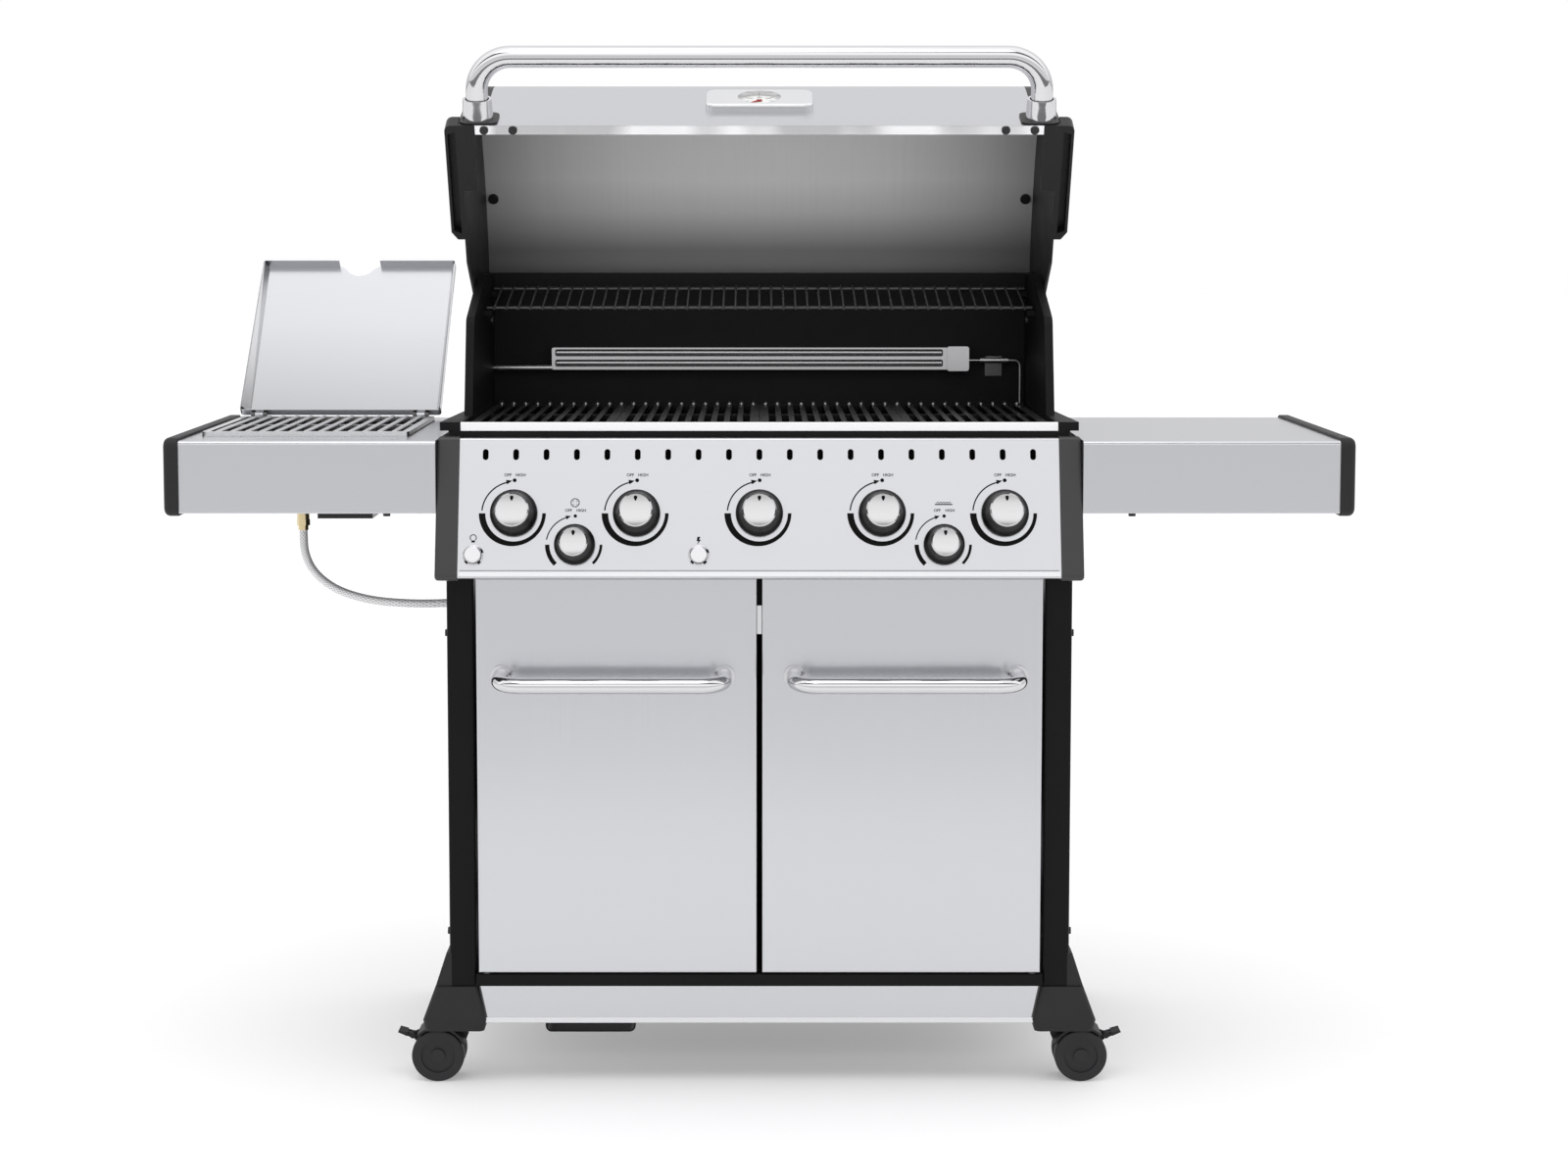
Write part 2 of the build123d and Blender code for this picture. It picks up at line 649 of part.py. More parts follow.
with BuildPart() as lid_pivot_pins:
    for sx in (-1, 1):
        with BuildSketch(side(EAR_X0 - 3 if sx > 0 else -LID_X - 9)):
            with Locations((HV, HZ)):
                Circle(LID_PIN_R)
        extrude(amount=LID_X + 9 - EAR_X0 + 3)
        with BuildSketch(side(LID_X + 8.9 if sx > 0 else -LID_X - 18.9)):
            with Locations((HV, HZ)):
                Circle(11)
        extrude(amount=10)
    fillet([e for e in lid_pivot_pins.edges() if abs(abs(e.center().X) - LID_X - 18.9) < 0.05], 3)

hp_o = lid_pt(0, *face_pt(HA))
HPL = Plane(origin=hp_o, x_dir=(1, 0, 0), z_dir=(0, -hup[1], -hup[2]))
with BuildPart() as lid_handle:
    with BuildLine(HPL) as lh_path:
        FilletPolyline((-402, TAB_T + 0.1), (-402, LID_TUBE_OUT), (402, LID_TUBE_OUT), (402, TAB_T + 0.1), radius=50)
    with BuildSketch(Plane(origin=lh_path.wires()[0] @ 0, z_dir=lh_path.wires()[0] % 0)):
        Circle(LID_TUBE_R)
        Circle(LID_TUBE_R - 1.8, mode=Mode.SUBTRACT)
    sweep(path=lh_path.wires()[0])
    for sx in (-1, 1):
        with BuildSketch(Plane(origin=lid_pt(sx * 402, *face_pt(HA, TAB_T + 0.05)), x_dir=(1, 0, 0), z_dir=hn)):
            Circle(22.2)
            Circle(LID_TUBE_R + 0.02, mode=Mode.SUBTRACT)
        extrude(amount=28, taper=3)
keep(lid_handle, "lid_handle")

with BuildPart() as lid_screws:
    for x in (-391, -350, 350, 391):
        with BuildSketch(Plane(origin=lid_pt(x, 67, 942), x_dir=(1, 0, 0), z_dir=lid_vec(0, -1))):
            Circle(6.2)
        extrude(amount=3)
    # on the liner, near its ends
    for x in (-413, 413):
        with BuildSketch(Plane(origin=lid_pt(x, 310.3, 1201.05), x_dir=(1, 0, 0), z_dir=lid_vec(-0.0576, -0.9983))):
            Circle(8)
        extrude(amount=5.5)
    fillet(lid_screws.edges().filter_by(GeomType.CIRCLE), 1)
keep(lid_screws, "lid_screws")

GA = 106.0
GPL = Plane(origin=lid_pt(0, *face_pt(GA)), x_dir=(1, 0, 0), z_dir=hn)
with BuildPart() as thermometer_bezel:
    with BuildSketch(GPL):
        RectangleRounded(156, 78, 16)
    extrude(amount=11)
    fillet(thermometer_bezel.faces().sort_by(SortBy.AREA)[-2:].edges().filter_by(lambda e: (e.center() - Vector(*GPL.origin)).dot(Vector(*hn)) > 10), 4)
    with BuildSketch(GPL.offset(4)):
        Circle(31)
    extrude(amount=20, mode=Mode.SUBTRACT)
    with BuildSketch(GPL.offset(3.5)):
        Circle(2)
    extrude(amount=4.5)
keep(thermometer_bezel, "thermometer_bezel")

with BuildPart() as thermometer_needle:
    with BuildSketch(GPL.offset(5)):
        Circle(4)
        with Locations((-11, -11)):
            Rectangle(30, 2, rotation=45)
        Circle(2 + RUN, mode=Mode.SUBTRACT)
    extrude(amount=1.4)
keep(thermometer_needle, "thermometer_needle")

# ---------------------------------------------------------------- side shelves
shelves = []
for sx in (-1, 1):
    with BuildPart() as shelf:
        x0 = SH_X0 - 1.5 if sx > 0 else -SH_X1
        with BuildSketch(side(x0)):
            t, z0, z1 = SH_T, SH_Z0, SH_Z1
            Polygon((16, z0), (0, z0), (0, z1), (SH_V1, z1), (SH_V1, z0), (SH_V1 - 16, z0), (SH_V1 - 16, z0 + t),
                    (SH_V1 - t, z0 + t), (SH_V1 - t, z1 - t), (t, z1 - t), (t, z0 + t), (16, z0 + t), align=None)
            fillet(at(vertices(), (0, z1), (SH_V1, z1)), 6)
            fillet(at(vertices(), (t, z1 - t), (SH_V1 - t, z1 - t)), 4.5)
            fillet(at(vertices(), (0, z0), (SH_V1, z0)), 2.5)
            fillet(at(vertices(), (t, z0 + t), (SH_V1 - t, z0 + t)), 1)
        extrude(amount=SH_X1 - SH_X0 + 1.5)
        with BuildSketch(side(SH_X0 - 1.5 if sx > 0 else -SH_X0)):
            Polygon((0.8, SH_Z0 + 0.8), (0.8, SH_Z1 - 4), (4, SH_Z1 - 0.8), (SH_V1 - 4, SH_Z1 - 0.8), (SH_V1 - 0.8, SH_Z1 - 4), (SH_V1 - 0.8, SH_Z0 + 0.8), align=None)
        extrude(amount=1.5)
        if sx < 0:
            with BuildSketch(level(SH_Z1 - 5)):
                with Locations(((WELL[0] + WELL[1]) / 2, (WELL[2] + WELL[3]) / 2)):
                    RectangleRounded(WELL[1] - WELL[0], WELL[3] - WELL[2], 6)
            extrude(amount=10, mode=Mode.SUBTRACT)
    shelves.append(shelf)
left_shelf, right_shelf = shelves
keep(left_shelf, "left_shelf")
keep(right_shelf, "right_shelf")

with BuildPart() as shelf_end_caps:
    for sx in (-1, 1):
        with BuildSketch(side(SH_X1 + 0.2 if sx > 0 else -CAP_X)):
            with Locations((SH_V1 / 2, (SH_Z0 + SH_Z1) / 2)):
                RectangleRounded(SH_V1 + 8, SH_Z1 - SH_Z0 + 8, 13)
        extrude(amount=CAP_X - SH_X1 - 0.2)
    fillet([e for e in shelf_end_caps.edges() if abs(abs(e.center().X) - CAP_X) < 0.05], 8)
    fillet([e for e in shelf_end_caps.edges() if abs(abs(e.center().X) - SH_X1 - 0.2) < 0.05], 2)
    for sx in (-1, 1):
        with BuildSketch(side(SH_X1 if sx > 0 else -SH_X1 - 14)):
            with Locations((SH_V1 / 2, (SH_Z0 + SH_Z1) / 2)):
                RectangleRounded(SH_V1 - 24, SH_Z1 - SH_Z0 - 24, 6)
        extrude(amount=14, mode=Mode.SUBTRACT)
keep(shelf_end_caps, "shelf_end_caps")

wx, wv = (WELL[0] + WELL[1]) / 2, (WELL[2] + WELL[3]) / 2
ww, wd = WELL[1] - WELL[0], WELL[3] - WELL[2]
with BuildPart() as side_burner_bowl:
    with BuildSketch(level(BOWL_Z)):
        with Locations((wx, wv)):
            Rectangle(ww - 14, wd - 14)
    extrude(amount=SH_Z1 - SH_T - BOWL_Z)
    with BuildSketch(level(BOWL_Z + 2)):
        with Locations((wx, wv)):
            Rectangle(ww - 17, wd - 17)
    extrude(amount=80, mode=Mode.SUBTRACT)
    # deeper box under the burner, seen below the shelf
    with BuildSketch(level(790)):
        with Locations((-593.5, wv - 10)):
            Rectangle(79, 120)
    extrude(amount=BOWL_Z + 1 - 790)
    with BuildSketch(level(792)):
        with Locations((-593.5, wv - 10)):
            Rectangle(76, 117)
    extrude(amount=80, mode=Mode.SUBTRACT)
    with BuildSketch(level(SH_Z1 - SH_T - 1.5)):
        with Locations((wx, wv)):
            Rectangle(ww + 10, wd + 10)
            Rectangle(ww - 17, wd - 17, mode=Mode.SUBTRACT)
    extrude(amount=1.5)
    with Locations((-661.5, Y(HOSE_V), BOWL_Z)):
        Cylinder(9.1, 26, mode=Mode.SUBTRACT)
keep(side_burner_bowl, "side_burner_bowl")

with BuildPart() as side_burner_head:
    with BuildSketch(level(784)):
        with Locations((-661.5, HOSE_V)):
            Circle(9)
    extrude(amount=82)
    with BuildSketch(level(866)):
        with Locations((-636, wv - 10)):
            Circle(44)
    extrude(amount=16, taper=6)
    with BuildSketch(level(881.9)):
        with Locations((-636, wv - 10)):
            Circle(36)
    extrude(amount=5)
    fillet([e for e in side_burner_head.edges() if abs(e.center().Z - 886.9) < 0.05], 2.5)
keep(side_burner_head, "side_burner_head")

with BuildPart() as side_burner_grate:
    with BuildSketch(level(SH_Z1 - SH_T)):
        with Locations((wx, wv)):
            RectangleRounded(ww - 3, wd - 3, 6)
            RectangleRounded(ww - 23, wd - 21, 4, mode=Mode.SUBTRACT)
    extrude(amount=8)
    with BuildSketch(level(SH_Z1 - SH_T)):
        with Locations((wx, wv)):
            Rectangle(ww - 12, 8)
    extrude(amount=6.5)
    with BuildSketch(front(WELL[3] - 8)):
        with Locations((wx, SH_Z1 - SH_T + 4.75)):
            with GridLocations(20.6, 1, 13, 1):
                RectangleRounded(8.2, 9.5, 3)
    extrude(amount=wd - 16)
keep(side_burner_grate, "side_burner_grate")

with BuildPart() as hose_fittings:
    with BuildSketch(level(775)):
        with Locations((-661.5, HOSE_V)):
            RegularPolygon(9.6, 6)
    extrude(amount=9)
    with BuildSketch(level(768.5)):
        with Locations((-661.5, HOSE_V)):
            Circle(7.4)
    extrude(amount=6.6)
    with BuildSketch(side(-441)):
        with Locations((HOSE_V, 661.7)):
            RegularPolygon(10.5, 6)
    extrude(amount=10.4)
    with BuildSketch(side(-430.8)):
        with Locations((HOSE_V, 661.7)):
            Circle(7)
    extrude(amount=16)
keep(hose_fittings, "hose_fittings")

HOSE = ((-661.5, 768.3), (-661.4, 753.3), (-660.3, 737.3), (-655.1, 720.6), (-645.9, 705.8), (-632.6, 692.9), (-614.1, 680.9),
        (-588.9, 671.3), (-555.7, 663.9), (-515.8, 660.8), (-475.8, 660.1), (-441.2, 661.7))
hp = [Vector(x, Y(HOSE_V), z) for x, z in HOSE]
hose_radii = []
for p0, p1, p2 in zip(hp, hp[1:], hp[2:]):
    turn = (p1 - p0).get_angle(p2 - p1)
    hose_radii.append(0.45 * min((p1 - p0).length, (p2 - p1).length) / tan(radians(turn / 2)))
print("hose radii", [round(r, 1) for r in hose_radii])
with BuildPart() as side_burner_hose:
    with BuildLine() as hose_path:
        FilletPolyline(*hp, radius=hose_radii)
    with BuildSketch(Plane(origin=hose_path.wires()[0] @ 0, z_dir=hose_path.wires()[0] % 0)):
        Circle(HOSE_R)
    sweep(path=hose_path.wires()[0])
print("hose length", round(hose_path.wires()[0].length, 1), "volume ratio", round(side_burner_hose.part.volume / (3.14159265 * HOSE_R ** 2 * hose_path.wires()[0].length), 4))
keep(side_burner_hose, "side_burner_hose")

# side burner cover, drawn open; local right runs from the hinge to the free edge
CO = radians(180 - COVER_OPEN)
CPX = (0, cos(CO), sin(CO))


def cover_plane(x):
    return Plane(origin=(x, Y(COVER_HV), COVER_HZ), x_dir=CPX, z_dir=(1, 0, 0))


CX0, CX1 = WELL[0] - 6.0, WELL[1] + 6.0
with BuildPart() as side_burner_cover:
    # sheet lies behind the hinge line; flanges turn towards the burner side
    with BuildSketch(cover_plane(CX0)):
        Polygon((5, -8.4), (COVER_L, -8.4), (COVER_L, 6.2), (5, 6.2), align=None)
    extrude(amount=CX1 - CX0)
    fillet([e for e in side_burner_cover.edges() if e.length < 20], 5)
    fillet([e for e in side_burner_cover.edges() if (e.center() - Vector(0, Y(COVER_HV), COVER_HZ)).dot(Vector(0, -sin(CO), cos(CO))) < -8.3], 3)
    with BuildSketch(cover_plane(CX0 + 1.3)):
        Polygon((6.3, -7.1), (COVER_L - 1.3, -7.1), (COVER_L - 1.3, 10), (6.3, 10), align=None)
    extrude(amount=CX1 - CX0 - 2.6, mode=Mode.SUBTRACT)
    npl = Plane(origin=((CX0 + CX1) / 2, Y(COVER_HV) + CPX[1] * COVER_L, COVER_HZ + CPX[2] * COVER_L), x_dir=(1, 0, 0), z_dir=(0, sin(CO), -cos(CO)))
    with BuildSketch(npl):
        with BuildLine():
            n1 = JernArc((-40, 0), (1, 0), 23.7, 57.6)
            n2 = JernArc(n1 @ 1, n1 % 1, 23.7, -115.2)
            n3 = JernArc(n2 @ 1, n2 % 1, 23.7, 57.6)
            Polyline(n3 @ 1, ((n3 @ 1).X, -6), (-40, -6), (-40, 0))
        make_face()
    extrude(amount=20, both=True, mode=Mode.SUBTRACT)
    for hx in (CX0 + 24, CX1 - 36):
        with BuildSketch(cover_plane(hx)):
            Polygon((0, 4.2), (8, 1), (8, -7.6), (3, -7.6), (-4, -1), align=None)
            Circle(4.6)
            Circle(2.5 + RUN, mode=Mode.SUBTRACT)
        extrude(amount=12)
keep(side_burner_cover, "side_burner_cover")

with BuildPart() as cover_hinges:
    for hx in (CX0 + 24, CX1 - 36):
        with BuildSketch(side(hx - 6)):
            with Locations((COVER_HV, COVER_HZ)):
                Circle(2.5)
        extrude(amount=24)
        for bx in (hx - 6, hx + 13):
            with BuildSketch(side(bx)):
                with Locations((COVER_HV, COVER_HZ)):
                    Circle(4.6)
                Polygon((COVER_HV - 4.6, COVER_HZ), (COVER_HV + 4.6, COVER_HZ), (COVER_HV + 4.6, SH_Z1), (COVER_HV - 4.6, SH_Z1), align=None)
            extrude(amount=5)

# ---------------------------------------------------------------- doors
doors, grips = [], []
for sx in (-1, 1):
    xa, xb = (DOOR_X0, DOOR_X1) if sx > 0 else (-DOOR_X1, -DOOR_X0)
    with BuildPart() as door:
        with BuildSketch(front(DOOR_V1)):
            Polygon((xa, DOOR_Z0), (xb, DOOR_Z0), (xb, DOOR_Z1), (xa, DOOR_Z1), align=None)
        extrude(amount=DOOR_V1 - DOOR_V0)
        fillet([e for e in door.edges() if abs(e.center().Y - Y(DOOR_V0)) < 0.05], 3.2)
        with BuildSketch(front(DOOR_V1 - DOOR_T)):
            Polygon((xa + DOOR_T, DOOR_Z0 + DOOR_T), (xb - DOOR_T, DOOR_Z0 + DOOR_T), (xb - DOOR_T, DOOR_Z1 - DOOR_T), (xa + DOOR_T, DOOR_Z1 - DOOR_T), align=None)
        extrude(amount=DOOR_V1 - DOOR_V0 - 2 * DOOR_T, mode=Mode.SUBTRACT)
        with BuildSketch(front(DOOR_V1 + 1)):
            Polygon((xa + 24, DOOR_Z0 + 24), (xb - 24, DOOR_Z0 + 24), (xb - 24, DOOR_Z1 - 24), (xa + 24, DOOR_Z1 - 24), align=None)
        extrude(amount=6, mode=Mode.SUBTRACT)
        for z in (DOOR_Z0, DOOR_Z1):
            with Locations((sx * PIN_X, Y(PIN_V), z)):
                Cylinder(PIN_R + RUN, 50, mode=Mode.SUBTRACT)
    doors.append(door)
    with BuildPart() as grip:
        gp = Plane(origin=(0, Y(DOOR_V0), HANDLE_Z), x_dir=(1, 0, 0), z_dir=(0, -HANDLE_DROP, HANDLE_OUT))
        ga, gb = sx * HANDLE_X0, sx * HANDLE_X1
        L = hypot(HANDLE_OUT, HANDLE_DROP)
        with BuildLine(gp) as gpath:
            FilletPolyline((ga, 0), (ga, -L), (gb, -L), (gb, 0), radius=32)
        with BuildSketch(Plane(origin=gpath.wires()[0] @ 0, z_dir=gpath.wires()[0] % 0)):
            Circle(HANDLE_R)
        sweep(path=gpath.wires()[0])
        with BuildSketch(front(DOOR_V0)):
            with Locations((ga, HANDLE_Z), (gb, HANDLE_Z)):
                Circle(14.5)
        extrude(amount=6)
        with BuildSketch(front(DOOR_V0)):
            with Locations((0, HANDLE_Z)):
                Rectangle(900, 80)
        extrude(amount=-10, mode=Mode.SUBTRACT)
    grips.append(grip)
left_door, right_door = doors
left_door_handle, right_door_handle = grips
keep(left_door, "left_door")
keep(right_door, "right_door")
keep(left_door_handle, "left_door_handle")
keep(right_door_handle, "right_door_handle")

with BuildPart() as door_hinge_pins:
    with Locations(*[(sx * PIN_X, Y(PIN_V), z) for sx in (-1, 1) for z in (RAIL_Z0 + 14, URAIL_Z0 + 4)]):
        Cylinder(PIN_R, 28)
    with Locations(*[(sx * PIN_X, Y(PIN_V), z) for sx in (-1, 1) for z in (162, 724.5)]):
        Cylinder(6, 1.2)

with BuildPart() as hinge_pins:
    add(lid_pivot_pins.part)
    add(cover_hinges.part)
    add(door_hinge_pins.part)
keep(hinge_pins, "hinge_pins")

# ---------------------------------------------------------------- knobs and buttons
def knob(x, z, rb, rf, h):
    with BuildPart() as k:
        pl = panel_at(x, z, 1.2)
        with BuildSketch(Plane(origin=pl.origin, x_dir=(1, 0, 0), z_dir=(0, -PN[2], PN[1]))):
            # radius to the right, height along the knob axis
            with BuildLine():
                Polyline((4 + RUN, 0), (rb - 1.5, 0), (rb, 1.5), (rb, 4))
                Spline((rb, 4), (rb * 0.5 + rf * 0.5 + 0.4, h * 0.30), (rf + 1.0, h * 0.62), (rf + 0.4, h - 2.5))
                Polyline((rf + 0.4, h - 2.5), (rf - 1.4, h), (0, h), (0, h - 9), (4 + RUN, h - 9), (4 + RUN, 0))
            make_face()
        revolve(axis=Axis(pl.origin, PN))
    return k


for i, x in enumerate(KNOB_X):
    kb = knob(x, KNOB_Z, 32.4, 22.8, 34)
    keep(kb, "knob_%d" % (i + 1))
side_burner_knob = knob(-KNOB2_X, KNOB2_Z, 28.0, 19.2, 31)
keep(side_burner_knob, "side_burner_knob")
rear_burner_knob = knob(KNOB2_X, KNOB2_Z, 28.0, 19.2, 31)
keep(rear_burner_knob, "rear_burner_knob")

for x, nm in zip(BTN_X, ("light_button", "ignition_button")):
    with BuildPart() as btn:
        with BuildSketch(panel_at(x, BTN_Z, 5.2)):
            Circle(BTN_R)
        extrude(amount=3.2)
        fillet([e for e in btn.edges() if (e.center() - Vector(*panel_at(x, BTN_Z).origin)).dot(Vector(*PN)) > 8], 1.6)
        with BuildSketch(panel_at(x, BTN_Z, 5.3)):
            Circle(BTN_R - 2)
        extrude(amount=-17)
    keep(btn, nm)

# ---------------------------------------------------------------- grease tray
with BuildPart() as grease_tray:
    with BuildSketch(level(716)):
        with Locations((0, 280)):
            RectangleRounded(300, 400, 12)
    extrude(amount=30)
    with BuildSketch(level(743.6)):
        with Locations((0, 280)):
            RectangleRounded(332, 400, 4)
    extrude(amount=1.6)
    with BuildSketch(level(717.2)):
        with Locations((0, 280)):
            RectangleRounded(297.6, 397.6, 11)
    extrude(amount=60, mode=Mode.SUBTRACT)
    with BuildSketch(front(500)):
        with Locations((0, 733)):
            RectangleRounded(140, 20, 4)
    extrude(amount=21)
keep(grease_tray, "grease_tray")

# ---------------------------------------------------------------- casters
CASTERS = {"front_left": (-1, POST_VF + 12), "front_right": (1, POST_VF + 12),
           "rear_left": (-1, POST_VR - 12), "rear_right": (1, POST_VR - 12)}
for nm, (sx, v) in CASTERS.items():
    wxc = sx * (SWIVEL_X + TRAIL)
    braked = nm.startswith("front")
    with BuildPart() as fork:
        with BuildSketch(front(v + WEB / 2)):
            with Locations((wxc, WHEEL_R)):
                Circle(27)
            Polygon((sx * (SWIVEL_X - 16), 76), (sx * (SWIVEL_X + 20), 76), (sx * (SWIVEL_X + TRAIL + 14), WHEEL_R + 10), (sx * (SWIVEL_X + TRAIL - 20), WHEEL_R - 8), (sx * (SWIVEL_X - 16), 62), align=None)
        extrude(amount=WEB)
        # fender over both wheels
        with BuildSketch(front(v + WEB / 2 + WHEEL_W)):
            with BuildLine():
                o = CenterArc((wxc, WHEEL_R), WHEEL_R + 5.2, 46 if sx > 0 else 25, 109)
                i_ = CenterArc((wxc, WHEEL_R), WHEEL_R + 2.0, 46 if sx > 0 else 25, 109)
                Line(o @ 0, i_ @ 0)
                Line(o @ 1, i_ @ 1)
            make_face()
        extrude(amount=WEB + 2 * WHEEL_W)
        with BuildSketch(front(v + WEB / 2)):
            with BuildLine():
                o = CenterArc((wxc, WHEEL_R), WHEEL_R + 3.5, 46 if sx > 0 else 25, 109)
                Line(o @ 0, (wxc, WHEEL_R))
                Line(o @ 1, (wxc, WHEEL_R))
            make_face()
        extrude(amount=WEB)
        with BuildSketch(level(74.7)):
            with Locations((sx * SWIVEL_X, v)):
                Circle(15)
        extrude(amount=2.8)
        with BuildSketch(level(77)):
            with Locations((sx * SWIVEL_X, v)):
                Circle(5.5)
        extrude(amount=20)
        with Locations((wxc, Y(v), WHEEL_R)):
            Cylinder(4 + RUN, 60, rotation=(90, 0, 0), mode=Mode.SUBTRACT)
        with BuildSketch(level(77.5)):
            with Locations((sx * SWIVEL_X, v)):
                Circle(90)
                Circle(5.5, mode=Mode.SUBTRACT)
        extrude(amount=30, mode=Mode.SUBTRACT)
        if braked:
            # ear for the brake lever
            lx, lz = wxc + sx * 37.5, WHEEL_R + 24
            with BuildSketch(front(v + WEB / 2 - 2.6)):
                with Locations((lx, lz)):
                    Circle(5)
                    Rectangle(200, 200, mode=Mode.INTERSECT)
            extrude(amount=WEB - 5.2)
            with BuildSketch(front(v + WEB / 2 - 2.6)):
                Polygon((wxc + sx * 22, WHEEL_R + 6), (wxc + sx * 38, WHEEL_R + 20), (lx - sx * 2, lz + 5), (wxc + sx * 22, WHEEL_R + 34), align=None)
            extrude(amount=WEB - 5.2)
            with Locations((lx, Y(v), lz)):
                Cylinder(2 + RUN, 60, rotation=(90, 0, 0), mode=Mode.SUBTRACT)
    keep(fork, "caster_fork_" + nm)
    with BuildPart() as wheels:
        for y0 in (v - WEB / 2 - 0.8, v + WEB / 2 + 0.8 + WHEEL_W - 1):
            with BuildSketch(front(y0)):
                with Locations((wxc, WHEEL_R)):
                    Circle(WHEEL_R)
            extrude(amount=WHEEL_W - 1)
        fillet([e for e in wheels.edges() if e.geom_type == GeomType.CIRCLE and abs(e.radius - WHEEL_R) < 0.1], 3)
        for y0, d in ((v - WEB / 2 - 0.8 - WHEEL_W + 1, 1), (v + WEB / 2 + 0.8 + WHEEL_W - 1, -1)):
            with BuildSketch(front(y0)):
                with Locations((wxc, WHEEL_R)):
                    Circle(24)
                    Circle(10, mode=Mode.SUBTRACT)
            extrude(amount=-2.5 * d, mode=Mode.SUBTRACT)
        with Locations((wxc, Y(v), WHEEL_R)):
            Cylinder(4, WEB + 12, rotation=(90, 0, 0))
    keep(wheels, "caster_wheels_" + nm)
    if braked:
        with BuildPart() as lever:
            la = radians(22)
            # forked plate: two cheeks on the pin and a tread in front
            for y0 in (v - WEB / 2 + 2.2, v + WEB / 2 + 1.8):
                with BuildSketch(front(y0)):
                    with Locations((lx, lz)):
                        Circle(4.2)
                    Polygon((lx, lz - 4.2), (lx, lz + 4.2), (lx + sx * 10, lz + 6.8), (lx + sx * 11, lz + 1.6), align=None)
                extrude(amount=4)
            with BuildSketch(front(v + 11)):
                Polygon((lx + sx * 7.5, lz + 0.6), (lx + sx * 7.5, lz + 6.2), (lx + sx * 19, lz + 9.4), (lx + sx * 20.5, lz + 6.4), align=None)
            extrude(amount=22)
            with Locations((lx, Y(v), lz)):
                Cylinder(2, WEB + 3, rotation=(90, 0, 0))
        keep(lever, "brake_lever_" + nm.split("_")[1])

# ---------------------------------------------------------------- fasteners
with BuildPart() as frame_screws:
    for sx in (-1, 1):
        for z in (215, 640):
            for v in (POST_VF, POST_VR):
                with BuildSketch(side(POST_X + POST / 2 if sx > 0 else -POST_X - POST / 2 - 4)):
                    with Locations((v, z)):
                        Circle(5)
                extrude(amount=4)
        with BuildSketch(level(SH_Z0 - 4)):
            with Locations((sx * 513, 9), (sx * 513, SH_V1 - 9)):
                Circle(5)
        extrude(amount=4)
        with BuildSketch(side(SH_X0 if sx > 0 else -SH_X0 - 4)):
            with Locations((110, 862), (390, 862)):
                RegularPolygon(6.5, 6)
        extrude(amount=4)
keep(frame_screws, "frame_screws")
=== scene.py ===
import bpy, bmesh, math
from mathutils import Vector, Matrix


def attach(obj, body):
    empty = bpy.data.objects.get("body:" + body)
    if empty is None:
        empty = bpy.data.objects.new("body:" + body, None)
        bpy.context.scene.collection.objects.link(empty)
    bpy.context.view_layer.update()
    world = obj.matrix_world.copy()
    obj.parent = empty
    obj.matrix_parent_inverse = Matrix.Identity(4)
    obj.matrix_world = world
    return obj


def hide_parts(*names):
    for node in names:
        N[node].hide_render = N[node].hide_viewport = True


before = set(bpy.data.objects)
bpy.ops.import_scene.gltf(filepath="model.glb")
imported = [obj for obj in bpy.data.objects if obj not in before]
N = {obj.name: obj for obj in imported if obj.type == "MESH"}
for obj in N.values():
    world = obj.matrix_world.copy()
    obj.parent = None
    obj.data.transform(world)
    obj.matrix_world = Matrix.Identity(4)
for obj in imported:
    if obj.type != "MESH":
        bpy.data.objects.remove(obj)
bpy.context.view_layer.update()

MM = 0.001
YF = -277.9            # front plane of the side shelves, mm


def P(x, v, z):
    """A point from millimetres across, depth behind the shelf fronts, and height."""
    return Vector((x * MM, (v + YF) * MM, z * MM))


# ------------------------------------------------------------------ materials
def new_mat(name):
    m = bpy.data.materials.new(name)
    m.use_nodes = True
    nt = m.node_tree
    bsdf = nt.nodes["Principled BSDF"]
    return m, nt, bsdf


def node(nt, kind, **kw):
    n = nt.nodes.new(kind)
    for k, v in kw.items():
        setattr(n, k, v)
    return n


def ramp(nt, fac, stops):
    r = node(nt, "ShaderNodeValToRGB")
    e = r.color_ramp.elements
    while len(e) < len(stops):
        e.new(0.5)
    for el, (p, c) in zip(e, stops):
        el.position = p
        el.color = (c, c, c, 1) if not isinstance(c, tuple) else (*c, 1)
    nt.links.new(fac, r.inputs["Fac"])
    return r.outputs["Color"]


def noise(nt, scale, stretch=(1, 1, 1), detail=3.0, rough=0.55):
    tc = node(nt, "ShaderNodeTexCoord")
    mp = node(nt, "ShaderNodeMapping")
    mp.inputs["Scale"].default_value = stretch
    nt.links.new(tc.outputs["Object"], mp.inputs["Vector"])
    nz = node(nt, "ShaderNodeTexNoise")
    nz.inputs["Scale"].default_value = scale
    nz.inputs["Detail"].default_value = detail
    nz.inputs["Roughness"].default_value = rough
    nt.links.new(mp.outputs["Vector"], nz.inputs["Vector"])
    return nz.outputs["Fac"]


def bump(nt, bsdf, height, strength, dist=0.001):
    b = node(nt, "ShaderNodeBump")
    b.inputs["Strength"].default_value = strength
    b.inputs["Distance"].default_value = dist
    nt.links.new(height, b.inputs["Height"])
    nt.links.new(b.outputs["Normal"], bsdf.inputs["Normal"])


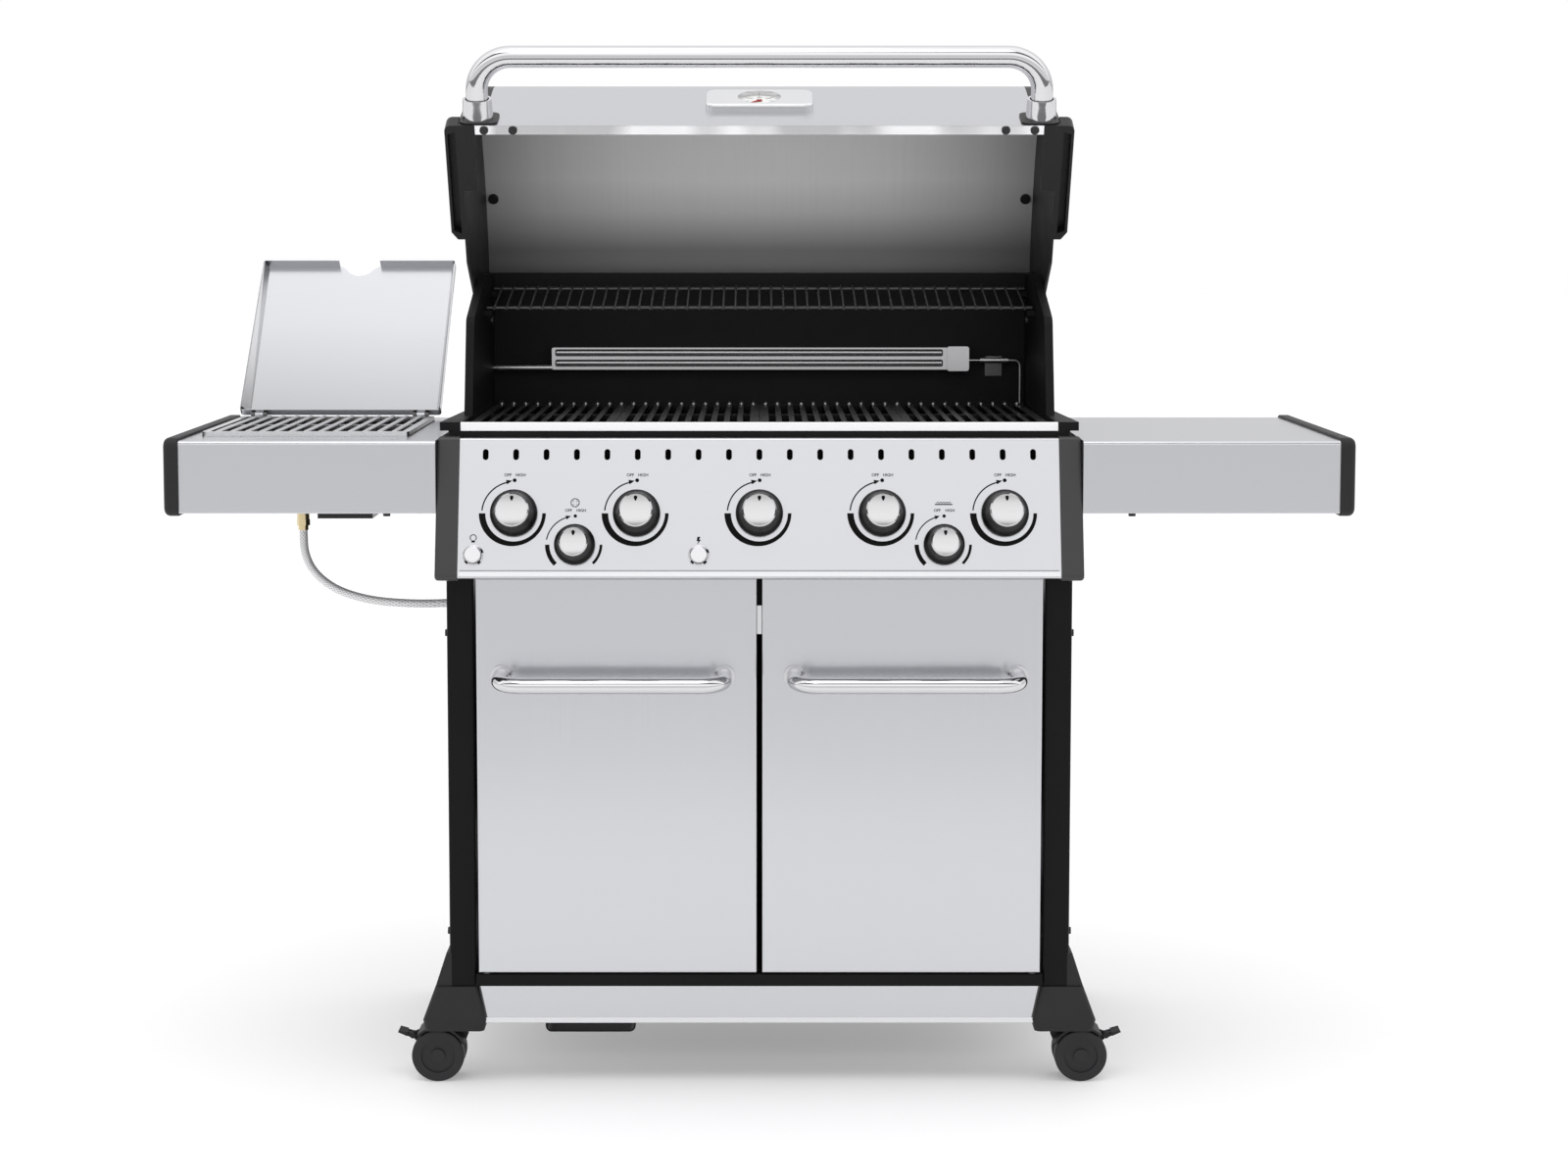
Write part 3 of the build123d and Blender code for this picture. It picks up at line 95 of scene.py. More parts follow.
def brushed(name, col, r0, r1, stretch=(3, 420, 420), tint=0.05, bmp=0.04):
    """Brushed sheet: fine streaks along the low-stretch axis."""
    m, nt, b = new_mat(name)
    b.inputs["Metallic"].default_value = 1.0
    f = noise(nt, 1.0, stretch, 4.0, 0.6)
    lo = tuple(c * (1 - tint) for c in col)
    hi = tuple(min(1, c * (1 + tint)) for c in col)
    nt.links.new(ramp(nt, f, [(0.3, lo), (0.7, hi)]), b.inputs["Base Color"])
    nt.links.new(ramp(nt, f, [(0.3, r0), (0.7, r1)]), b.inputs["Roughness"])
    bump(nt, b, f, bmp, 0.0005)
    return m


def plain(name, col, rough, metallic=0.0, coat=0.0, coat_r=0.1, grain=0.0, grain_scale=900, spec=0.5, blotch=0.0):
    m, nt, b = new_mat(name)
    b.inputs["Metallic"].default_value = metallic
    b.inputs["Specular IOR Level"].default_value = spec
    b.inputs["Coat Weight"].default_value = coat
    b.inputs["Coat Roughness"].default_value = coat_r
    f = noise(nt, 14.0, (1, 1, 1), 4.0, 0.6)
    if blotch:
        nt.links.new(ramp(nt, f, [(0.35, tuple(c * (1 - blotch) for c in col)), (0.65, tuple(min(1, c * (1 + blotch)) for c in col))]), b.inputs["Base Color"])
    else:
        b.inputs["Base Color"].default_value = (*col, 1)
    nt.links.new(ramp(nt, f, [(0.3, max(0.02, rough - 0.04)), (0.7, rough + 0.04)]), b.inputs["Roughness"])
    if grain:
        bump(nt, b, noise(nt, grain_scale, (1, 1, 1), 2.0), grain, 0.0006)
    return m


STEEL = brushed("steel_brushed", (0.565, 0.572, 0.590), 0.265, 0.272, tint=0.002, bmp=0.0008)
STEEL_DOOR = brushed("steel_door", (0.575, 0.583, 0.602), 0.20, 0.22, stretch=(420, 420, 3), tint=0.006, bmp=0.0016)
STEEL_PANEL = brushed("steel_panel", (0.580, 0.588, 0.604), 0.28, 0.31, tint=0.006, bmp=0.0016)


def liner_mat():
    """Brushed sheet, with painted shade darkening it towards the rear and the ends."""
    m, nt, b = new_mat("steel_liner")
    b.inputs["Metallic"].default_value = 0.18
    tc = node(nt, "ShaderNodeTexCoord")
    sp_ = node(nt, "ShaderNodeSeparateXYZ")
    nt.links.new(tc.outputs["Object"], sp_.inputs["Vector"])
    f = noise(nt, 1.0, (240, 3, 3), 4.0, 0.6)
    mr_ = node(nt, "ShaderNodeMapRange")
    mr_.inputs["From Min"].default_value = 1.17
    mr_.inputs["From Max"].default_value = 1.37
    nt.links.new(sp_.outputs["Z"], mr_.inputs["Value"])
    # painted shade: base colour goes from white high on the open lid down to dark at its lower, rear edge
    up = ramp(nt, mr_.outputs["Result"], [(0.0, 0.27), (0.10, 0.42), (0.30, 0.76), (0.55, 1.0), (1.0, 1.0)])
    ab = node(nt, "ShaderNodeMath", operation="ABSOLUTE")
    nt.links.new(sp_.outputs["X"], ab.inputs[0])
    mx = node(nt, "ShaderNodeMapRange")
    mx.inputs["From Min"].default_value = 0.0
    mx.inputs["From Max"].default_value = 0.425
    nt.links.new(ab.outputs[0], mx.inputs["Value"])
    # painted shade: base colour darker towards both ends of the liner
    across = ramp(nt, mx.outputs["Result"], [(0.0, 1.0), (0.45, 0.97), (0.8, 0.82), (1.0, 0.64)])
    streak = ramp(nt, f, [(0.3, 0.965), (0.7, 1.0)])
    cur = up
    for other in (across, streak):
        mm = node(nt, "ShaderNodeMix", data_type="RGBA", blend_type="MULTIPLY")
        mm.inputs[0].default_value = 1.0
        nt.links.new(cur, mm.inputs[6])
        nt.links.new(other, mm.inputs[7])
        cur = mm.outputs[2]
    nt.links.new(cur, b.inputs["Base Color"])
    nt.links.new(ramp(nt, f, [(0.3, 0.58), (0.7, 0.68)]), b.inputs["Roughness"])
    bump(nt, b, f, 0.02, 0.0005)
    return m


STEEL_LINER = liner_mat()
# painted highlight: the front trim is near white and only partly metallic so it reads as brightly lit
STEEL_TRIM_PAINTED_LIGHT = brushed("steel_trim_painted_light", (0.96, 0.96, 0.965), 0.30, 0.38, tint=0.02, bmp=0.01)
STEEL_TRIM_PAINTED_LIGHT.node_tree.nodes["Principled BSDF"].inputs["Metallic"].default_value = 0.35
STEEL_DULL = brushed("steel_dull", (0.42, 0.42, 0.42), 0.36, 0.46, tint=0.05)
STEEL_BRIGHT = brushed("steel_bright", (0.74, 0.745, 0.755), 0.18, 0.26, tint=0.03)
CHROME = plain("chrome", (0.64, 0.64, 0.65), 0.07, 1.0)
POST = plain("post_black", (0.0046, 0.0048, 0.0049), 0.40, grain=0.08, spec=0.12, blotch=0.10)
PLASTIC = plain("plastic_black", (0.017, 0.017, 0.0175), 0.52, grain=0.20, grain_scale=700, spec=0.25, blotch=0.08)
CAPGREY = plain("cap_grey", (0.026, 0.026, 0.0265), 0.40, grain=0.08, spec=0.5, blotch=0.06)
CAST = plain("cast_black", (0.0090, 0.0090, 0.0093), 0.44, grain=0.22, grain_scale=520, spec=0.30, blotch=0.15)
FIREBOX = plain("firebox_black", (0.0075, 0.0075, 0.0077), 0.52, grain=0.20, grain_scale=420, spec=0.13, blotch=0.2)
IRON = plain("iron_black", (0.006, 0.006, 0.0062), 0.36, spec=0.2, blotch=0.2)
# painted highlight: a lighter, glossier copy of the black iron for the tops of the grid bars
IRON_TOP_PAINTED_LIGHT = plain("iron_bar_top_painted_light", (0.055, 0.055, 0.056), 0.30, spec=0.6, coat=0.4, coat_r=0.2, blotch=0.10)
# painted highlight: bright polished metal for the glints at the rear ends of the grid bars
IRON_TIP_PAINTED_GLINT = plain("iron_bar_tip_painted_glint", (0.62, 0.62, 0.63), 0.24, 0.9)
WIRE = plain("wire_black", (0.022, 0.022, 0.022), 0.26, spec=0.7, coat=0.4)
BRASS = plain("brass_pale", (0.72, 0.60, 0.36), 0.26, 1.0, blotch=0.06)
KNOB = plain("knob_black", (0.004, 0.004, 0.004), 0.34, spec=0.16, blotch=0.06)
KNOBBODY = plain("knob_grey", (0.024, 0.024, 0.024), 0.36, spec=0.22, blotch=0.06)


def face_mat(name, c, normal, rf):
    """Satin metal knob face, dished a little towards its middle."""
    m, nt, b = new_mat(name)
    b.inputs["Metallic"].default_value = 1.0
    tc = node(nt, "ShaderNodeTexCoord")
    d = node(nt, "ShaderNodeVectorMath", operation="DISTANCE")
    nt.links.new(tc.outputs["Object"], d.inputs[0])
    d.inputs[1].default_value = c
    f = noise(nt, 1.0, (30, 900, 900), 3.0, 0.6)
    nt.links.new(ramp(nt, f, [(0.3, (0.56, 0.56, 0.56)), (0.7, (0.58, 0.58, 0.58))]), b.inputs["Base Color"])
    nt.links.new(ramp(nt, f, [(0.3, 0.13), (0.7, 0.17)]), b.inputs["Roughness"])
    sq = node(nt, "ShaderNodeMath", operation="MULTIPLY")
    nt.links.new(d.outputs["Value"], sq.inputs[0])
    nt.links.new(d.outputs["Value"], sq.inputs[1])
    k = node(nt, "ShaderNodeMath", operation="MULTIPLY")
    nt.links.new(sq.outputs[0], k.inputs[0])
    k.inputs[1].default_value = 0.16 / (2 * rf)
    bump(nt, b, k.outputs[0], 1.0, 1.0)
    return m


WHEEL = plain("wheel_grey", (0.022, 0.022, 0.023), 0.5, grain=0.12, spec=0.25, blotch=0.08)
INK = plain("print_black", (0.005, 0.005, 0.005), 0.6, spec=0.06)
# painted highlight: a lighter copy of the steel for the folded hems of the side burner cover
STEEL_HEM_PAINTED_LIGHT = brushed("steel_hem_painted_light", (0.72, 0.725, 0.735), 0.30, 0.36, stretch=(420, 3, 3), tint=0.01, bmp=0.002)
# painted highlight: a lighter copy of the steel for fold edges and the push button bezels
STEEL_FOLD_PAINTED_LIGHT = brushed("steel_fold_painted_light", (0.70, 0.705, 0.715), 0.24, 0.28, tint=0.01, bmp=0.002)
INKDARK = plain("print_dark", (0.004, 0.004, 0.004), 0.6, spec=0.06)
WHITE = plain("dial_white", (0.82, 0.82, 0.80), 0.4)
RED = plain("pointer_red", (0.45, 0.02, 0.015), 0.4)
SCREW = plain("screw_black", (0.010, 0.010, 0.010), 0.34, spec=0.4)
SCREWM = plain("screw_dark", (0.10, 0.10, 0.10), 0.34, 0.7)
BURNER = brushed("burner_steel", (0.50, 0.50, 0.505), 0.20, 0.26, tint=0.02, bmp=0.004)
PORCELAIN = plain("bowl_black", (0.007, 0.007, 0.007), 0.30, spec=0.4, blotch=0.1)
GRATE = brushed("grate_steel", (0.70, 0.705, 0.71), 0.22, 0.32, stretch=(420, 3, 420), tint=0.03, bmp=0.01)


def paint(name, *mats):
    me = N[name].data
    me.materials.clear()
    for m in mats:
        me.materials.append(m)
    return me


for n, m in {
    "corner_posts": POST, "caster_sockets": PLASTIC, "cabinet_floor": POST, "front_rails": POST, "kick_panel": STEEL,
    "cabinet_side_panels": POST, "rear_panel": POST, "door_catch": STEEL_BRIGHT, "control_panel": STEEL_PANEL,
    "panel_end_caps": CAPGREY, "gas_manifold": BRASS, "firebox": FIREBOX, "firebox_trim": STEEL_TRIM_PAINTED_LIGHT, "cooking_grids": IRON,
    "heat_tents": STEEL_DULL, "main_burners": STEEL_DULL, "rear_burner": BURNER, "warming_rack": WIRE, "lid_skin": STEEL,
    "lid_liner": STEEL_LINER, "lid_end_caps": CAST, "lid_handle": CHROME, "lid_screws": SCREW, "thermometer_bezel": STEEL_BRIGHT,
    "thermometer_needle": RED, "hinge_pins": SCREWM, "left_shelf": STEEL, "right_shelf": STEEL, "shelf_end_caps": PLASTIC,
    "side_burner_bowl": PORCELAIN, "side_burner_head": BRASS, "side_burner_grate": GRATE, "hose_fittings": BRASS,
    "side_burner_cover": STEEL, "left_door": STEEL_DOOR, "right_door": STEEL_DOOR, "left_door_handle": CHROME, "right_door_handle": CHROME,
    "light_button": CHROME, "ignition_button": CHROME, "grease_tray": STEEL_DULL, "frame_screws": SCREW,
}.items():
    paint(n, m)
for n in N:
    if n.startswith("caster_fork") or n.startswith("brake"):
        paint(n, PLASTIC)
    elif n.startswith("caster_wheels"):
        paint(n, WHEEL)


def repaint(name, mat, test):
    """Gives mat to the faces of a node whose centre and normal pass test."""
    me = N[name].data
    me.materials.append(mat)
    k = len(me.materials) - 1
    for f in me.polygons:
        if test(f.center, f.normal):
            f.material_index = k


BURN_Y = min(v.co.y for v in N["rear_burner"].data.vertices if -0.33 < v.co.x < 0.287)
# painted shade: the floor of the burner's recess gets the black wire finish to read as shadow between the tubes; the
# small plate by the igniter is black as well
repaint("rear_burner", WIRE, lambda c, n: (-0.325 < c.x < 0.29 and n.y < -0.9 and c.y > BURN_Y + 0.006) or (0.349 < c.x < 0.379 and abs(n.y) > 0.9 and c.z < 0.999))
repaint("rear_burner", STEEL_DULL, lambda c, n: c.x > 0.387)
# painted highlight: the upward faces of the grid bars get the lighter iron
repaint("cooking_grids", IRON_TOP_PAINTED_LIGHT, lambda c, n: n.z > 0.9)
repaint("door_catch", POST, lambda c, n: c.y > (YF + 56.5) * MM)


def patchy(name, col, r0):
    """Turned edge of thin sheet, not quite flat, with painted reflections: a bright base colour broken by darker
    patches.
    """
    m, nt, b = new_mat(name)
    b.inputs["Metallic"].default_value = 1.0
    f = noise(nt, 1.0, (10, 3, 3), 1.0, 0.4)
    nt.links.new(ramp(nt, f, [(0.42, tuple(c * 0.56 for c in col)), (0.56, col)]), b.inputs["Base Color"])
    nt.links.new(ramp(nt, f, [(0.3, r0), (0.7, r0 + 0.1)]), b.inputs["Roughness"])
    bump(nt, b, f, 0.1, 0.002)
    return m


LIP_PAINTED_REFLECTION = patchy("steel_lip_painted_reflection", (0.86, 0.86, 0.87), 0.22)


# ------------------------------------------------------------------ camera
cam = bpy.data.cameras.new("camera")
cam.lens = 59.581
cam.sensor_width = 36.0
cam.shift_x = 0.0157
cam.shift_y = -0.1
camo = bpy.data.objects.new("camera", cam)
bpy.context.scene.collection.objects.link(camo)
camo.location = (0.0, (YF - 3542.7) * MM, 1.2117)
camo.rotation_euler = (math.radians(90 - 4.581), 0, 0)
cam.clip_end = 100
bpy.context.scene.camera = camo
bpy.context.scene.view_settings.view_transform = "Standard"


# ------------------------------------------------------------------ helpers for pieces
def link(o):
    bpy.context.scene.collection.objects.link(o)
    return o


def mesh_obj(name, verts, faces, mat, smooth=False):
    me = bpy.data.meshes.new(name)
    me.from_pydata([tuple(v) for v in verts], [], faces)
    me.update()
    if smooth:
        for p in me.polygons:
            p.use_smooth = True
    me.materials.append(mat)
    return link(bpy.data.objects.new(name, me))


# ------------------------------------------------------------------ hose
HOSE = ((-661.5, 768.3), (-661.4, 753.3), (-660.3, 737.3), (-655.1, 720.6), (-645.9, 705.8), (-632.6, 692.9), (-614.1, 680.9),
        (-588.9, 671.3), (-555.7, 663.9), (-515.8, 660.8), (-475.8, 660.1), (-441.2, 661.7))


def braid_mat():
    m, nt, b = new_mat("hose_braid")
    tc = node(nt, "ShaderNodeTexCoord")
    sep = node(nt, "ShaderNodeSeparateXYZ")
    nt.links.new(tc.outputs["UV"], sep.inputs["Vector"])

    def math_n(op, a, bv):
        n = node(nt, "ShaderNodeMath", operation=op)
        for i, v in enumerate((a, bv)):
            if hasattr(v, "is_linked"):
                nt.links.new(v, n.inputs[i])
            else:
                n.inputs[i].default_value = v
        return n.outputs[0]
    u = math_n("MULTIPLY", sep.outputs["X"], 46 * 6.28318)
    v = math_n("MULTIPLY", sep.outputs["Y"], 8 * 6.28318)
    s1 = math_n("SINE", math_n("ADD", u, v), 0.0)
    s2 = math_n("SINE", math_n("SUBTRACT", u, v), 0.0)
    h = math_n("MAXIMUM", s1, s2)
    half = math_n("ADD", math_n("MULTIPLY", h, 0.5), 0.5)
    nt.links.new(ramp(nt, half, [(0.45, (0.55, 0.55, 0.56)), (0.9, (0.95, 0.95, 0.95))]), b.inputs["Base Color"])
    nt.links.new(ramp(nt, half, [(0.4, 0.55), (0.9, 0.34)]), b.inputs["Roughness"])
    b.inputs["Metallic"].default_value = 0.35
    bump(nt, b, h, 0.5, 0.0008)
    return m


cu = bpy.data.curves.new("hose", "CURVE")
cu.dimensions = "3D"
sp = cu.splines.new("NURBS")
sp.points.add(len(HOSE) - 1)
for p, (x, z) in zip(sp.points, HOSE):
    p.co = (*P(x, 200, z), 1)
sp.order_u = 3
sp.use_endpoint_u = True
sp.resolution_u = 16
cu.bevel_depth = 6.0 * MM
cu.bevel_resolution = 8
cu.use_fill_caps = True
hose = link(bpy.data.objects.new("hose", cu))
cu.materials.append(braid_mat())
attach(hose, "cart")
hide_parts("side_burner_hose")

# ------------------------------------------------------------------ control panel prints and knobs
PB, PT = (-25.0, 727.0), (25.0, 916.0)
AL = math.atan2(PT[0] - PB[0], PT[1] - PB[1])
PN = Vector((0, -math.cos(AL), math.sin(AL)))
PU = Vector((0, math.sin(AL), math.cos(AL)))
PX = Vector((1, 0, 0))


def pv(z):
    return PB[0] + (PT[0] - PB[0]) * (z - PB[1]) / (PT[1] - PB[1])


def on_panel(x, z, a, b, out):
    """Point a mm right and b mm up the panel from (x, z), out mm off its face."""
    return P(x, pv(z), z) + (PX * a + PU * b + PN * out) * MM


class Print:
    """Collects flat shapes on the control panel into one thin mesh."""

    def __init__(self):
        self.v, self.f = [], []

    def poly(self, x, z, pts, out=0.18):
        i = len(self.v)
        self.v += [on_panel(x, z, a, b, out) for a, b in pts]
        self.f.append(list(range(i, i + len(pts))))

    def band(self, x, z, outer, inner, out=0.18):
        i = len(self.v)
        n = len(outer)
        self.v += [on_panel(x, z, a, b, out) for a, b in outer] + [on_panel(x, z, a, b, out) for a, b in inner]
        for k in range(n - 1):
            self.f.append([i + k, i + k + 1, i + n + k + 1, i + n + k])

    def arc(self, x, z, r0, r1, a0, a1, n=40, cx=0.0, cy=0.0):
        A = [math.radians(a0 + (a1 - a0) * k / n) for k in range(n + 1)]
        self.band(x, z, [(cx + r1 * math.cos(t), cy + r1 * math.sin(t)) for t in A], [(cx + r0 * math.cos(t), cy + r0 * math.sin(t)) for t in A])

    def dot(self, x, z, cx, cy, r, n=20):
        self.poly(x, z, [(cx + r * math.cos(6.28318 * k / n), cy + r * math.sin(6.28318 * k / n)) for k in range(n)])

    def make(self, name, mat):
        o = mesh_obj(name, self.v, self.f, mat)
        me = o.data
        bm = bmesh.new()
        bm.from_mesh(me)
        bmesh.ops.recalc_face_normals(bm, faces=bm.faces)
        for f in bm.faces:
            if f.normal.dot(PN) < 0:
                f.normal_flip()
        bm.to_mesh(me)
        bm.free()
        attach(o, "cart")
        return o


pr = Print()
KNOB_X = (-337.0, -168.5, 0.0, 168.5, 337.0)


def arrow(x, z, r, deg, ln, hw):
    """Arrow head on a circle round the knob, pointing clockwise."""
    t = math.radians(deg)
    c, s_ = math.cos(t), math.sin(t)
    mid = (r * c, r * s_)
    tip = (mid[0] + ln * s_, mid[1] - ln * c)
    pr.poly(x, z, [tip, (mid[0] + hw * c, mid[1] + hw * s_), (mid[0] - hw * c, mid[1] - hw * s_)])


for x in KNOB_X:
    z = 815.0
    # crescent that thins from high on the left to low on the right
    A = [math.radians(180 + 180 * k / 60) for k in range(61)]
    pr.band(x, z, [(-2.0 + 46.0 * math.cos(t), 45.6 * math.sin(t)) for t in A], [(39.0 * math.cos(t), 39.0 * math.sin(t)) for t in A])
    pr.arc(x, z, 43.0, 44.9, 104, 175, 30)
    arrow(x, z, 44.6, 104, 8.2, 3.3)
    pr.dot(x, z, 0.4, 45.8, 2.7)
for x in (-253.0, 253.0):
    z = 773.0
    pr.arc(x, z, 34.6, 40.6, 180, 226, 16)
    pr.arc(x, z, 34.2, 38.0, 314, 360, 16)
    pr.arc(x, z, 38.4, 40.0, 108, 170, 20)
    arrow(x, z, 39.4, 108, 7.2, 2.9)
    pr.dot(x, z, 0.4, 39.6, 2.4)
# ring over the side burner knob, wide flat burner over the rear one
pr.arc(-253, 773, 5.0, 6.2, 0, 360, 32, 0, 58.0)
for k in range(4):
    t = math.radians(45 + 90 * k)
    c, s_ = math.cos(t), math.sin(t)
    pr.poly(-253, 773, [(2.0 * c - 0.35 * s_, 58 + 2.0 * s_ + 0.35 * c), (2.0 * c + 0.35 * s_, 58 + 2.0 * s_ - 0.35 * c),
                        (4.2 * c + 0.35 * s_, 58 + 4.2 * s_ - 0.35 * c), (4.2 * c - 0.35 * s_, 58 + 4.2 * s_ + 0.35 * c)])
pr.poly(253, 773, [(-12, 54.8), (12, 54.8), (12, 56.4), (-12, 56.4)])
for k in range(5):
    pr.arc(253, 773, 1.1, 2.0, 0, 180, 10, -8 + 4 * k, 57.2)
# painted shade: a thin dark line in the crease over the folded lower edge
pr.poly(0, 727, [(-410, 11.4), (410, 11.4), (410, 12.1), (-410, 12.1)])
# spark and lamp icons over the push buttons
pr.poly(-83, 759, [(-1.8, 25.4), (2.2, 25.4), (0.4, 21.2), (3.0, 21.2), (-2.4, 14.4), (-0.6, 19.4), (-3.2, 19.4)])
pr.arc(-392, 759, 3.6, 4.8, -50, 230, 28, 0, 24.0)
pr.poly(-392, 759, [(-2.4, 17.4), (2.4, 17.4), (2.4, 20.4), (-2.4, 20.4)])
pr.make("panel_print", INK)


def knob_look(name, x, z, rb, rf, h):
    c = P(x, pv(z), z) + PN * (1.2 * MM)
    me = paint(name, KNOB, KNOBBODY, face_mat(name + "_face", tuple(c + PN * (h * MM)), PN, rf * MM))
    for p in me.polygons:
        q = p.center - c
        up = q.dot(PN) / MM
        r = (q - PN * q.dot(PN)).length / MM
        if up > h - 2.3 and r < rf + 0.2:
            p.material_index = 2
        elif r < rb - 4.5 and up > 4:
            p.material_index = 1
    # pointer mark near the top of the face
    o_ = 1.2 + h + 0.08
    pts = [(-0.8, rf - 10.6), (0.8, rf - 10.6), (2.5, rf - 6.6), (2.2, rf - 4.4), (0.0, rf - 3.4), (-2.2, rf - 4.4), (-2.5, rf - 6.6)]
    mk = mesh_obj(name + "_mark", [on_panel(x, z, a, b, o_) for a, b in pts], [list(range(len(pts)))], INKDARK)
    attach(mk, name)


for i, x in enumerate(KNOB_X):
    knob_look("knob_%d" % (i + 1), x, 815.0, 32.4, 22.8, 34)
knob_look("side_burner_knob", -253.0, 773.0, 28.0, 19.2, 31)
knob_look("rear_burner_knob", 253.0, 773.0, 28.0, 19.2, 31)

# ------------------------------------------------------------------ lid details
HV, HZ = 449.0, 1063.0
T = math.radians(62.0)
FA = math.radians(90 - 8.6)
FD = (math.cos(FA), math.sin(FA))
FNV = (-math.sin(FA), math.cos(FA))


def lid_pt(x, v, z):
    """Where a point of the shut lid is with the lid open."""
    a, b = v - HV, z - HZ
    return P(x, HV + a * math.cos(T) + b * math.sin(T), HZ - a * math.sin(T) + b * math.cos(T))


def lid_vec(a, b):
    return Vector((0, a * math.cos(T) + b * math.sin(T), -a * math.sin(T) + b * math.cos(T)))


def face_pt(a, out=0.0):
    return (60 + FD[0] * a + FNV[0] * out, 942 + FD[1] * a + FNV[1] * out)


def on_face(a, b, out, base=106.0):
    """Point a mm across and b mm up the lid's front face from the gauge centre."""
    return lid_pt(a, *face_pt(base + b, out))


LN = lid_vec(*FNV)


def flat_piece(name, pts_list, mat, body, normal):
    v, f = [], []
    for pts in pts_list:
        i = len(v)
        v += pts
        f.append(list(range(i, i + len(pts))))
    o = mesh_obj(name, v, f, mat)
    bm = bmesh.new()
    bm.from_mesh(o.data)
    for fc in bm.faces:
        fc.normal_update()
        if fc.normal.dot(normal) < 0:
            fc.normal_flip()
    bm.to_mesh(o.data)
    bm.free()
    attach(o, body)
    return o


flat_piece("dial_face", [[on_face(30.4 * math.cos(6.28318 * k / 64), 30.4 * math.sin(6.28318 * k / 64), 4.15) for k in range(64)]], WHITE, "lid", LN)
ticks = []
for k in range(37):
    t_ = math.radians(225 - 7.5 * k)
    r0, wd = (23.0, 0.55) if k % 6 == 0 else (25.5, 0.28)
    c, s = math.cos(t_), math.sin(t_)
    ticks.append([on_face(r * c - sgn * wd * s, r * s + sgn * wd * c, 4.3) for r, sgn in ((r0, 1), (28.4, 1), (28.4, -1), (r0, -1))])
flat_piece("dial_ticks", ticks, INKDARK, "lid", LN)


def text_piece(name, txt, size, place, mat, body, bold=0.0):
    """Flat lettering whose local x, y go through place(a, b)."""
    fc = bpy.data.curves.new(name, "FONT")
    fc.body = txt
    fc.size = size
    fc.align_x = "CENTER"
    fc.align_y = "CENTER"
    fc.resolution_u = 3
    fc.offset = bold
    tmp = link(bpy.data.objects.new(name + "_tmp", fc))
    bpy.context.view_layer.update()
    dg = bpy.context.evaluated_depsgraph_get()
    me = bpy.data.meshes.new_from_object(tmp.evaluated_get(dg))
    bpy.data.objects.remove(tmp)
    for v in me.vertices:
        v.co = place(v.co.x, v.co.y)
    me.materials.clear()
    me.materials.append(mat)
    me.name = name
    o = link(bpy.data.objects.new(name, me))
    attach(o, body)
    return o


for k, num in enumerate(("50", "100", "150", "200", "250", "300", "350")):
    t_ = math.radians(225 - 45 * k)
    cx, cy = 18.6 * math.cos(t_), 18.6 * math.sin(t_)
    text_piece("dial_number_%d" % k, num, 5.4, lambda a, b, cx=cx, cy=cy: on_face(cx + a, cy + b, 4.3), INKDARK, "lid")


for i, (x, z, up, sz) in enumerate([(x, 815.0, 53.0, 5.8) for x in KNOB_X] + [(-253.0, 773.0, 47.2, 5.4), (253.0, 773.0, 47.2, 5.4)]):
    text_piece("knob_word_off_%d" % i, "OFF", sz, lambda a, b, x=x, z=z, up=up: on_panel(x, z, a - 9.0, b + up, 0.18), INK, "cart", 0.12)
    text_piece("knob_word_high_%d" % i, "HIGH", sz, lambda a, b, x=x, z=z, up=up: on_panel(x, z, a + 8.6, b + up, 0.18), INK, "cart", 0.12)

# ------------------------------------------------------------------ push button bezels
for nm, x in (("light_button_bezel", -392.0), ("ignition_button_bezel", -83.0)):
    prof = [(12.1, 0.15), (12.1, 1.6), (12.5, 2.1), (13.2, 2.1), (13.9, 1.5), (14.3, 0.15)]
    K = 48
    v_ = [on_panel(x, 759.0, r_ * math.cos(6.28318 * k / K), r_ * math.sin(6.28318 * k / K), h_) for r_, h_ in prof for k in range(K)]
    f_ = [[i * K + k, i * K + (k + 1) % K, (i + 1) * K + (k + 1) % K, (i + 1) * K + k] for i in range(len(prof) - 1) for k in range(K)]
    # the bezels are in the lighter steel, a painted highlight
    o = mesh_obj(nm, v_, f_, STEEL_FOLD_PAINTED_LIGHT, smooth=True)
    bm = bmesh.new()
    bm.from_mesh(o.data)
    bmesh.ops.recalc_face_normals(bm, faces=bm.faces)
    bm.to_mesh(o.data)
    bm.free()
    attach(o, "cart")

tk = []
for x in (-392.0, -83.0):
    for deg in (24, 228, 310):
        t = math.radians(deg)
        c, s_ = math.cos(t), math.sin(t)
        tk.append([on_panel(x, 759.0, r_ * c - w_ * s_, r_ * s_ + w_ * c, h_)
                   for h_ in (2.0, 2.3) for r_, w_ in ((12.2, 2.5), (14.7, 2.5), (14.7, -2.5), (12.2, -2.5))])
o = mesh_obj("button_bezel_ticks", sum(tk, []),
             [[8 * i + k for k in q] for i in range(len(tk)) for q in ((4, 7, 6, 5), (0, 1, 2, 3), (0, 4, 5, 1), (1, 5, 6, 2), (2, 6, 7, 3), (3, 7, 4, 0))], INKDARK)
bm = bmesh.new()
bm.from_mesh(o.data)
bmesh.ops.recalc_face_normals(bm, faces=bm.faces)
bm.to_mesh(o.data)
bm.free()
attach(o, "cart")


